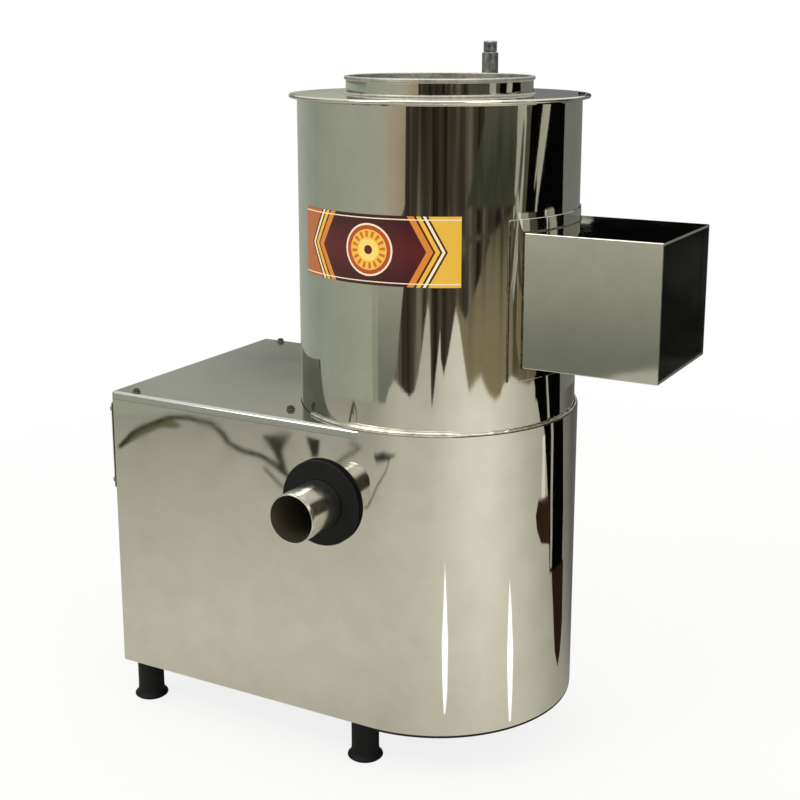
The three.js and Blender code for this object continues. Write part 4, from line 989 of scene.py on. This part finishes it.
def make_collar():
    low, high = limits("feed_collar")
    rim = high.x
    wall = rim - COLLAR_ROLL
    profile = [(wall - SHEET, low.z), (wall, low.z), (wall, LID - 0.4), (wall + 4, LID - 0.4),
               (wall + 0.1, LID, 3), (wall, high.z - 6, 1), (rim, high.z - 4.2, 1.3), (rim, high.z, 2),
               (wall - SHEET + 0.2, high.z, 1.4)]
    ring = piece("feed_ring", spun(profile, DRUM_STEPS), "bright", ["feed_collar"], normal=drum_normal)
    # The rolled rim and the root weld are dressed by hand, and the inside isn't polished
    lowest, highest = (LID + COLLAR_ROOT_BAND) * MM, (high.z - COLLAR_RIM_BAND) * MM
    refinish(ring, "satin", lambda face: looks_inward(face) or not lowest <= face.center.z <= highest)


# Seam between the round end and the drum: a bead that is thick in front and thin to the side, and that
# runs up onto the deck at its hidden end. Angles are in degrees; lumps are a span and a count.
SEAM_SPAN = (-124, 94)
SEAM_STEPS = 454
SEAM_ON_DECK = -96
SEAM_THICK = (-14, 36)
SEAM_THIN_RADIUS = 1.6
SEAM_SWELL = 1.8
SEAM_WOBBLE = 0.3
SEAM_GAP = 0.6
SEAM_LUMPS = ((-10, 7, 12), (49, 56, 3), (78, 84, 4), (88, 95, 4))


def make_seam():
    level = limits("seam_ring")[0].z
    points, radii = [], []
    for angle in evenly(*SEAM_SPAN, SEAM_STEPS):
        lift = (DECK - level) * clamped((SEAM_ON_DECK - angle) / 4)
        across = angle - NEAR
        rise = clamped((across - SEAM_THICK[0]) / 5) * clamped((SEAM_THICK[1] - across) / 4)
        wobble = noise.noise(Vector((angle * 0.45, 0, 0)))
        radius = SEAM_THIN_RADIUS + SEAM_SWELL * rise + SEAM_WOBBLE * wobble
        points.append(polar(DRUM + SEAM_GAP + radius, angle, level + lift + radius + 0.05))
        radii.append(radius)
    bodies = [bead(points, radii, 16)]
    draw = random.Random(11)
    for start, end, count in SEAM_LUMPS:
        for _ in range(count):
            angle = NEAR + draw.uniform(start, end)
            size = draw.uniform(1.6, 2.4)
            lump = bmesh.new()
            bmesh.ops.create_uvsphere(lump, u_segments=14, v_segments=8, radius=1)
            shape = Matrix.Diagonal((size * draw.uniform(1.0, 1.8), size * 0.7, size * 0.8, 1))
            place = Matrix.Translation(polar(DRUM + 2.6, angle, level + draw.uniform(1.6, 4.5)))
            bodies.append(moved(lump, place @ Matrix.Rotation(math.radians(angle + 90), 4, "Z") @ shape))
    piece("seam_weld", merged(bodies), "weld", ["seam_ring"])


# Discharge chute: folded duct with a hem round its mouth, and a flange that is welded to the drum
HEM = 1.5
HEM_WIDTH = 7
HEM_SETBACK = 0.6
FOLD = 1.4
FLANGE_EDGE = 0.9
RIPPLE_PITCH = 3.2
RIPPLE_SHARE = 0.16
UNEVEN_SHARE = 0.2
DUCT_BEAD = 1.5
FLANGE_BEAD = 1.3


def make_chute():
    low, high = limits("discharge_chute")
    chute_low, chute_high, near, far = chute_faces()
    skin = DRUM + CLEAR
    duct = soften(along_chute(0, high.x, 0), FOLD, 3, lambda e: abs(e.verts[0].co.x - e.verts[1].co.x) > 1)
    core = rod(skin, chute_low - BEYOND, chute_high + BEYOND, DRUM_STEPS)
    walls = carved(duct, [core, along_chute(-BEYOND, high.x + BEYOND, SHEET)])
    soften(walls, 0.5, 2, lambda e: min(v.co.x for v in e.verts) > high.x - 0.1)
    hem = carved(along_chute(high.x - HEM_WIDTH, high.x - HEM_SETBACK, SHEET - 0.02),
                 [along_chute(0, high.x + BEYOND, SHEET + HEM)])
    duct = piece("chute_duct", merged([walls, hem]), "bright", ["discharge_chute"])

    def looks_into_duct(face):
        _, y, z = (face.center - AXIS) / MM
        within = near + 1 < y < far - 1 and chute_low + 1 < z < chute_high - 1
        return within and abs(face.normal.x) < 0.5

    # The duct's inside gets painted shade: a nearly black coat in place of the steel
    refinish(duct, "duct_inside_shade", looks_into_duct)
    wrap = spun([(skin, low.z), (skin + SHEET, low.z, FLANGE_EDGE), (skin + SHEET, high.z, FLANGE_EDGE),
                 (skin, high.z)], DRUM_STEPS)
    keep = block((0, low.y, low.z - BEYOND), (skin * 2, high.y, high.z + BEYOND))
    flange = carved(combined("INTERSECT", wrap, [keep]), [along_chute(0, skin * 2, SHEET)])
    piece("chute_flange", flange, "bright", normal=drum_normal)
    make_chute_welds(near, far, chute_low, chute_high, skin + SHEET)


def weld_run(points, radius):
    """A bead of overlapping weld ripples along a line of corners."""
    line, sizes = [], []
    for start, end in zip(points, points[1:]):
        count = max(2, round((end - start).length / (RIPPLE_PITCH / 4)))
        for k in range(count):
            line.append(start.lerp(end, k / count))
            ripple = RIPPLE_SHARE * math.sin(math.tau * k * 0.25)
            sizes.append(radius * (1 + ripple + UNEVEN_SHARE * noise.noise(line[-1] * 0.05)))
    return bead(line, sizes, 8)


def make_chute_welds(near, far, low, high, skin):
    """Weld runs round the duct on its flange, and down the flange's two upright edges."""
    def upright_runs(radius, out, trim, size):
        return [weld_run([polar(radius, angle_at(side, skin), low - out + trim),
                          polar(radius, angle_at(side, skin), high + out - trim)], size)
                for side in (near - out, far + out)]

    level_runs = [weld_run(arc(skin, angle_at(near, skin), angle_at(far, skin), 40, level), DUCT_BEAD)
                  for level in (low, high)]
    duct_runs = upright_runs(skin, 0, 0, DUCT_BEAD) + level_runs
    flange_runs = upright_runs(skin - 1, CHUTE_FLANGE, 2, FLANGE_BEAD)
    # The welds' dark heat tint is partly real and partly painted shade along the chute's flange
    piece("chute_welds", merged(duct_runs + flange_runs), "heat_tint_and_shade")


# Label: printed film, a plain design of chevrons and a roundel, in millimetres from its middle
LABEL_CREAM = "#F3E6C4"
LABEL_YELLOW = "#EDB83A"
LABEL_WINE = "#5A161B"
CHEVRON_SLANT = 0.55
CHEVRONS = ((80, 89, "#D9822B"), (92, 98, LABEL_YELLOW), (101, 105, LABEL_CREAM))
END_BAR = 108
ROUNDEL = ((35, LABEL_CREAM), (32.5, "#B5451F"), (27, LABEL_YELLOW), (15, "#F6D56B"), (6, LABEL_WINE))
RAYS = 16
RAY_FROM, RAY_TO = 17, 25
BORDER_FROM, BORDER_TO = 5.2, 3.8
LABEL_INNER, LABEL_OUTER = 0.4, 1.0
LABEL_STEPS = 72


def label_material(width, height):
    """Offset print under a clear film: flat inks with a faint screen, and a soft gloss."""
    material, tree = blank_material("printed_label_film")
    place = add(tree, "UVMap", uv_map="print").outputs[0]
    split = add(tree, "SeparateXYZ", {"Vector": place})
    across, up = split.outputs["X"], split.outputs["Y"]

    def calc(operation, first, second=0.0):
        return add(tree, "Math", {0: first, 1: second}, operation=operation).outputs[0]

    def between(value, least, most):
        return calc("MULTIPLY", calc("GREATER_THAN", value, least), calc("LESS_THAN", value, most))

    def over(under, ink, mask):
        mix = add(tree, "Mix", {"Factor": mask, "A": under, "B": colour(ink)}, data_type="RGBA")
        return mix.outputs["Result"]

    rise = calc("ABSOLUTE", up)
    slant = calc("ADD", calc("ABSOLUTE", across), calc("MULTIPLY", rise, CHEVRON_SLANT))
    printed = ramp(tree, calc("MULTIPLY", rise, 1 / (height / 2)), [(0.0, LABEL_WINE), (1.0, "#3A0C10")])
    for inner, outer, ink in (*CHEVRONS, (END_BAR, width, "#B5652B")):
        printed = over(printed, ink, between(slant, inner, outer))
    right_end = calc("MULTIPLY", calc("GREATER_THAN", slant, END_BAR), calc("GREATER_THAN", across, 0))
    printed = over(printed, "#E8B53A", right_end)
    far = calc("SQRT", calc("ADD", calc("POWER", across, 2), calc("POWER", up, 2)))
    for radius, ink in ROUNDEL:
        printed = over(printed, ink, calc("LESS_THAN", far, radius))
    spoke = calc("SINE", calc("MULTIPLY", calc("ARCTAN2", up, across), RAYS))
    ray = calc("MULTIPLY", between(far, RAY_FROM, RAY_TO), calc("GREATER_THAN", spoke, 0.2))
    printed = over(printed, "#C9661F", ray)
    printed = over(printed, LABEL_CREAM, between(rise, height / 2 - BORDER_FROM, height / 2 - BORDER_TO))
    screen = add(tree, "TexNoise", {"Vector": place, "Scale": 1.4, "Detail": 2.0})
    surfaced(tree, {"Base Color": printed, "Roughness": 0.32, "IOR": 1.5}, screen.outputs["Fac"], 0.05, 0.05)
    return material


def make_label():
    low, high = limits("front_label")
    outer = DRUM + LABEL_OUTER
    half = angle_at(high.x, outer)
    height = high.z - low.z
    body = arc_plate(DRUM + LABEL_INNER, outer, NEAR - half, NEAR + half, low.z, high.z, LABEL_STEPS)
    prints = body.loops.layers.uv.new("print")
    for face in body.faces:
        for loop in face.loops:
            place = loop.vert.co
            loop[prints].uv = (math.atan2(place.x, -place.y) * outer, place.z - (low.z + high.z) / 2)
    FINISHES["label"] = (label_material(math.radians(2 * half) * outer, height), "label_print")
    piece("label_film", body, "label", ["front_label"], normal=drum_normal)


# Water inlet: threaded nipple in a socket, its nut, and the spray pipe under the drum top
THREAD = 10.65
THREAD_PITCH = 1.81
THREAD_LENGTH = 17
THREAD_TURNS = 8
INLET_BORE = 8
SPRAY_PIPE = 7
SPRAY_BORE = 5.5
SPRAY_STUB = 10


def make_inlet():
    low, high = limits("water_inlet")
    nut_low, nut_high = limits("inlet_nut")
    centre = upright("water_inlet")
    socket = (high.x - low.x) / 2
    shoulder = high.z - THREAD_LENGTH
    ridges = []
    for k in range(THREAD_TURNS):
        z = shoulder + 1.5 + k * THREAD_PITCH
        ridges += [(THREAD - 1.0, z), (THREAD, z + THREAD_PITCH / 2)]
    profile = [(INLET_BORE, low.z), (THREAD, low.z), (THREAD, LID + CLEAR), (socket, LID + CLEAR, 0.5),
               (socket, shoulder, 0.8), (THREAD - 1.2, shoulder), *ridges, (THREAD - 1.1, high.z - 0.4, 0.3),
               (THREAD - 2, high.z), (INLET_BORE, high.z)]
    piece("inlet_nipple", moved(spun(profile), centre), "mill", ["water_inlet"])
    across = (nut_high.x - nut_low.x) / 2
    bore = rod(INLET_HOLE, nut_low.z - BEYOND, nut_high.z + BEYOND, SMALL_STEPS)
    nut = carved(soften(prism(hexagon(across), nut_low.z, nut_high.z), 0.6), [bore])
    piece("inlet_locknut", moved(nut, centre), "machined", ["inlet_nut"])
    make_spray_pipe(centre)


def make_spray_pipe(centre):
    low, high = limits("spray_pipe")
    radius = centre_of("water_inlet")[1]
    reach = angle_at(high.x, radius + SPRAY_PIPE)
    level = low.z + SPRAY_PIPE
    outer = pipe(arc(radius, 90 - reach, 90 + reach, 48, level), SPRAY_PIPE, 32)
    inner = pipe(arc(radius, 89 - reach, 91 + reach, 48, level), SPRAY_BORE, 24)
    stub = spun([(0, level), (SPRAY_STUB, level), (SPRAY_STUB, high.z, 0.8), (0, high.z)], SMALL_STEPS)
    bore = rod(INLET_BORE, level, high.z + BEYOND, SMALL_STEPS)
    body = carved(united(outer, [moved(stub, centre)]), [inner, moved(bore, centre)])
    piece("spray_bar", body, "mill", ["spray_pipe"])


# Drain: polished outlet pipe in a rubber ring, its locknut, and the elbow up to the drum
PIPE_WALL = 2
ELBOW_BEND = 50


def facing_near(profile, steps):
    """A body turned on the drain's centre line; its profile is (radius, how far out of the near side)."""
    x, _, z = centre_of("drain_pipe")
    aim = Matrix.Translation((x, 0, z)) @ Matrix.Rotation(math.radians(90), 4, "X")
    return moved(spun(profile, steps), aim)


def make_drain():
    low, high = limits("drain_pipe")
    radius = (high.x - low.x) / 2
    mouth, inner_end = -low.y, -high.y
    outlet = [(radius - PIPE_WALL, inner_end), (radius, inner_end), (radius, mouth - 4.5, 3),
              (radius - 0.25, mouth - 3.2, 1), (radius, mouth - 1.6, 1), (radius - 0.4, mouth, 0.5),
              (radius - PIPE_WALL, mouth, 0.6)]
    tube = piece("outlet_pipe", facing_near(outlet, WIDE_STEPS), "tube", ["drain_pipe"])
    x, _, z = centre_of("drain_pipe")
    centre = INTO_SCENE @ Vector((x, 0, z))

    def looks_into_pipe(face):
        out = face.center - centre
        return face.normal.x * out.x + face.normal.z * out.z < -0.02

    # The pipe's inside gets painted shade: a dark brown coat in place of the steel
    refinish(tube, "pipe_inside_shade", looks_into_pipe)
    hole = radius + 0.4
    low, high = limits("drain_gasket")
    outer, back, front = (high.x - low.x) / 2, -high.y, -low.y
    ring = [(hole, back), (outer - 5, back, 0.8), (outer, front - 3, 1.6), (outer - 1.2, front, 1.2),
            (hole, front, 0.6)]
    piece("rubber_ring", facing_near(ring, WIDE_STEPS), "rubber", ["drain_gasket"])
    low, high = limits("drain_nut")
    outer, back, front = (high.x - low.x) / 2, -high.y, -low.y
    nut = [(hole, back, 0.5), (outer, back, 1), (outer, front, 1), (hole, front, 0.5)]
    piece("drain_locknut", facing_near(nut, ROUND_STEPS), "machined", ["drain_nut"])
    make_elbow(radius, CLEAR - inner_end)


def make_elbow(radius, mouth):
    low, high = limits("drain_elbow")
    x = (low.x + high.x) / 2
    y, z = high.y - radius, low.z + radius
    line = [Vector((x, y, high.z))]
    for angle in evenly(0, 90, 12):
        turn = math.radians(angle)
        line.append(Vector((x, y - ELBOW_BEND * (1 - math.cos(turn)), z + ELBOW_BEND * (1 - math.sin(turn)))))
    line.append(Vector((x, mouth, z)))
    longer = [line[0] + Vector((0, 0, BEYOND)), *line[1:-1], line[-1] - Vector((0, BEYOND, 0))]
    body = carved(pipe(line, radius), [pipe(longer, radius - PIPE_WALL)])
    piece("waste_elbow", body, "mill", ["drain_elbow"])


# Inside the drum: floor pan, disc with its three ridges, and its cap nut
PAN_BOSS = 25
PAN_BOSS_WALL = 3
PAN_EDGE = 13
PAN_HOLE = 32
ELBOW_RADIUS = 35
SHAFT_BORE = 10.4
DISC_THICK = 12
RIDGES = 3
RIDGE_FROM, RIDGE_TO = 45, 172
RIDGE_HALF = 14
RIDGE_HEIGHT = 13


def make_pan():
    low, high = limits("drum_floor")
    outer, bore = high.x, PAN_BOSS - PAN_BOSS_WALL
    floor, edge = low.z + SHEET, low.z + PAN_EDGE
    pan = [(bore, low.z), (outer, low.z, 1), (outer, edge, 0.6), (outer - SHEET, edge, 0.6),
           (outer - SHEET, floor, 4), (PAN_BOSS, floor, 3), (PAN_BOSS, high.z, 0.8), (bore, high.z, 0.8)]
    elbow_low, elbow_high = limits("drain_elbow")
    place = Matrix.Translation(((elbow_low.x + elbow_high.x) / 2, elbow_high.y - ELBOW_RADIUS, 0))
    hole = moved(rod(PAN_HOLE, low.z - BEYOND, low.z + BEYOND), place)
    piece("drum_pan", carved(spun(pan, PAN_STEPS), [hole]), "mill", ["drum_floor"])


def make_disc():
    low, high = limits("abrasive_disc")
    radius = high.x
    top = high.z - RIDGE_HEIGHT
    bottom = top - DISC_THICK
    disc = [(SHAFT_BORE, bottom), (29, bottom), (29, low.z), (39, low.z, 1), (39, bottom, 2),
            (radius, bottom, 1.5), (radius, top, 2.5), (SHAFT_BORE, top)]
    ridges = []
    for i in range(RIDGES):
        ridge = bmesh.new()
        bmesh.ops.create_uvsphere(ridge, u_segments=32, v_segments=20, radius=1)
        shape = Matrix.Diagonal(((RIDGE_TO - RIDGE_FROM) / 2, RIDGE_HALF, RIDGE_HEIGHT, 1))
        place = Matrix.Translation(((RIDGE_FROM + RIDGE_TO) / 2, 0, top))
        moved(ridge, Matrix.Rotation(math.tau * i / RIDGES, 4, "Z") @ place @ shape)
        bmesh.ops.bisect_plane(ridge, geom=ridge.verts[:] + ridge.edges[:] + ridge.faces[:], dist=0.001,
                               plane_co=(0, 0, bottom + 2), plane_no=(0, 0, -1), clear_outer=True)
        bmesh.ops.holes_fill(ridge, edges=[e for e in ridge.edges if e.is_boundary], sides=0)
        ridges.append(ridge)
    piece("grit_disc", united(spun(disc, WIDE_STEPS), ridges), "grit", ["abrasive_disc"], rides="spindle")
    low, high = limits("disc_nut")
    cap = [(0, high.z - 3), (SHAFT_BORE, high.z - 3), (SHAFT_BORE, low.z, 0.5), (high.x, low.z, 1),
           (high.x, low.z + 9, 2), (high.x * 0.72, high.z, 4), (0, high.z)]
    piece("disc_cap_nut", spun(cap), "bright", ["disc_nut"], rides="spindle")


# Sliding gate behind the chute: a bent plate with a finger tab, in two slotted guides
GATE_OVERLAP = 3.5
GATE_RADIUS = 191
GUIDE_INNER, GUIDE_OUTER = 186.6, 193.4
GUIDE_FOOT = 7
GUIDE_LAP, GUIDE_WEB = 3, 1.6  # degrees over the plate's edge, and past it
SLOT_PLAY = 0.6  # millimetres at the plate's faces, and degrees at its edge
TAB_HALF = 32
TAB_REACH = 38
TAB_DROP = 12
TAB_CORNER = 8
TAB_HOLE = 10
TAB_HOLE_INSET = 24


def make_gate():
    low, high = limits("discharge_gate")
    _, _, near, far = chute_faces()
    start, end = angle_at(near, DRUM) - GATE_OVERLAP, angle_at(far, DRUM) + GATE_OVERLAP
    inner = GATE_RADIUS - SHEET
    plate = soften(arc_plate(inner, GATE_RADIUS, start, end, low.z, high.z, 48), 0.5)
    tab_low = high.z - TAB_DROP
    tab = block((GATE_RADIUS - TAB_REACH, -TAB_HALF, tab_low), (GATE_RADIUS - 1, TAB_HALF, tab_low + SHEET))
    soften(tab, TAB_CORNER, 6, lambda e: abs(e.verts[0].co.z - e.verts[1].co.z) > 1
           and e.verts[0].co.x < GATE_RADIUS - 20)
    hole = rod(TAB_HOLE, tab_low - BEYOND, tab_low + BEYOND, SMALL_STEPS)
    tab = carved(tab, [moved(hole, Matrix.Translation((GATE_RADIUS - TAB_HOLE_INSET, 0, 0)))])
    turn = Matrix.Rotation(math.radians((start + end) / 2), 4, "Z")
    piece("gate_plate", united(plate, [moved(tab, turn)]), "bright", ["discharge_gate"], rides="gate")
    for name, edge, side in (("near", start, -1), ("far", end, 1)):
        low, high = limits(f"gate_guide_{name}")
        lap, web, slot = edge - side * GUIDE_LAP, edge + side * GUIDE_WEB, edge + side * SLOT_PLAY
        shell = arc_plate(GUIDE_INNER, GUIDE_OUTER, min(lap, web), max(lap, web), low.z, high.z, 8)
        gap = arc_plate(inner - SLOT_PLAY, GATE_RADIUS + SLOT_PLAY, min(lap - side, slot),
                        max(lap - side, slot), low.z + GUIDE_FOOT, high.z + BEYOND, 8)
        piece(f"guide_{name}", carved(shell, [gap]), "mill", [f"gate_guide_{name}"])


# Switch panel with its two buttons and the gland
BEZEL_HOLE = 11.4
GLAND_HOLE = 8.1
PANEL_CORNER = 5


def facing_end(body, node):
    """Turns a body spun round +Z so that it points out of the panel's face, at a node's centre."""
    _, y, z = centre_of(node)
    face = limits("switch_panel")[0].x
    return moved(body, Matrix.Translation((face, y, z)) @ Matrix.Rotation(math.radians(-90), 4, "Y"))


def make_panel():
    low, high = limits("switch_panel")
    outline = rounded_box((high.y - low.y) / 2, (high.z - low.z) / 2, PANEL_CORNER)
    plate = moved(prism(outline, 0, high.x - low.x), across_end(low.x, (low.z + high.z) / 2))
    holes = [("start_bezel", BEZEL_HOLE, SMALL_STEPS), ("stop_bezel", BEZEL_HOLE, SMALL_STEPS),
             ("cable_gland", GLAND_HOLE, SMALL_STEPS)]
    holes += [(f"panel_screw_{i}", SCREW_HOLE, SCREW_STEPS) for i in range(1, 5)]
    tools = [facing_end(rod(radius, -BEYOND, BEYOND, steps), node) for node, radius, steps in holes]
    piece("panel_plate", soften(carved(plate, tools), 0.4), "dull", ["switch_panel"])
    bezel = [(9.6, -16), (11, -16), (11, 0.3), (15, 0.3, 0.4), (15, 2.4, 0.9), (13.2, 3.3, 0.6),
             (9.6, 3.3, 0.5)]
    for name in ("start", "stop"):
        piece(f"{name}_ring", facing_end(spun(bezel), f"{name}_bezel"), "bright", [f"{name}_bezel"])
    flat = [(0, -12), (9.2, -12), (9.2, 5, 0.8), (7.4, 5, 0.4), (7, 4.4, 0.4), (0, 4.4)]
    piece("start_cap", facing_end(spun(flat), "start_button"), "green", ["start_button"], "start_button")
    mushroom = [(0, -12), (9.2, -12), (9.2, 7, 0.6), (16, 7, 0.8), (16, 11, 1.6), (14, 12.4, 2), (9, 13),
                (0, 13)]
    piece("stop_cap", facing_end(spun(mushroom), "stop_button"), "red", ["stop_button"], "stop_button")
    nose = low.x - limits("cable_gland")[0].x
    gland = [(4.5, -14), (7.7, -14), (7.7, 0.3), (10.6, 0.3), (10.6, 7.3, 0.6), (9.4, 7.3),
             (9.4, nose - 6, 3), (6.2, nose, 1), (4.5, nose, 0.5)]
    ring = carved(soften(prism(hexagon(11), 0.3, 7.3), 0.5), [rod(9, -BEYOND, 7.3 + BEYOND, SMALL_STEPS)])
    piece("gland_body", facing_end(merged([spun(gland), ring]), "cable_gland"), "nylon", ["cable_gland"])


# Frame nodes whose plain shape is right keep it, and take a finish
KEPT = {
    "mill": ["base_floor", "upper_bearing", "lower_bearing"],
    "machined": ["main_shaft", "motor_shaft"],
    "frame": ["inner_frame", "bearing_bridge", "motor_plate"],
    "cast": ["bearing_housing", "driven_pulley", "motor_pulley"],
    "rubber": ["shaft_seal", "drive_belt"],
    "enamel": ["motor_housing", "motor_fan_cover"],
    "nylon": ["start_contact_block", "stop_contact_block", "motor_terminal_box", "motor_fan"],
}


def finish_kept_nodes():
    for finish, names in KEPT.items():
        for name in names:
            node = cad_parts[name]
            node.data.materials.clear()
            node.data.materials.append(FINISHES[finish][0])


bpy.context.scene.view_settings.view_transform = "Standard"
make_camera()
make_floor()
make_surroundings()
make_light()
make_base_wrap()
make_edge_shadow_strip()
make_deck()
make_screws()
make_feet()
make_drum()
make_lid()
make_collar()
make_seam()
make_chute()
make_label()
make_inlet()
make_drain()
make_pan()
make_disc()
make_gate()
make_panel()
finish_kept_nodes()
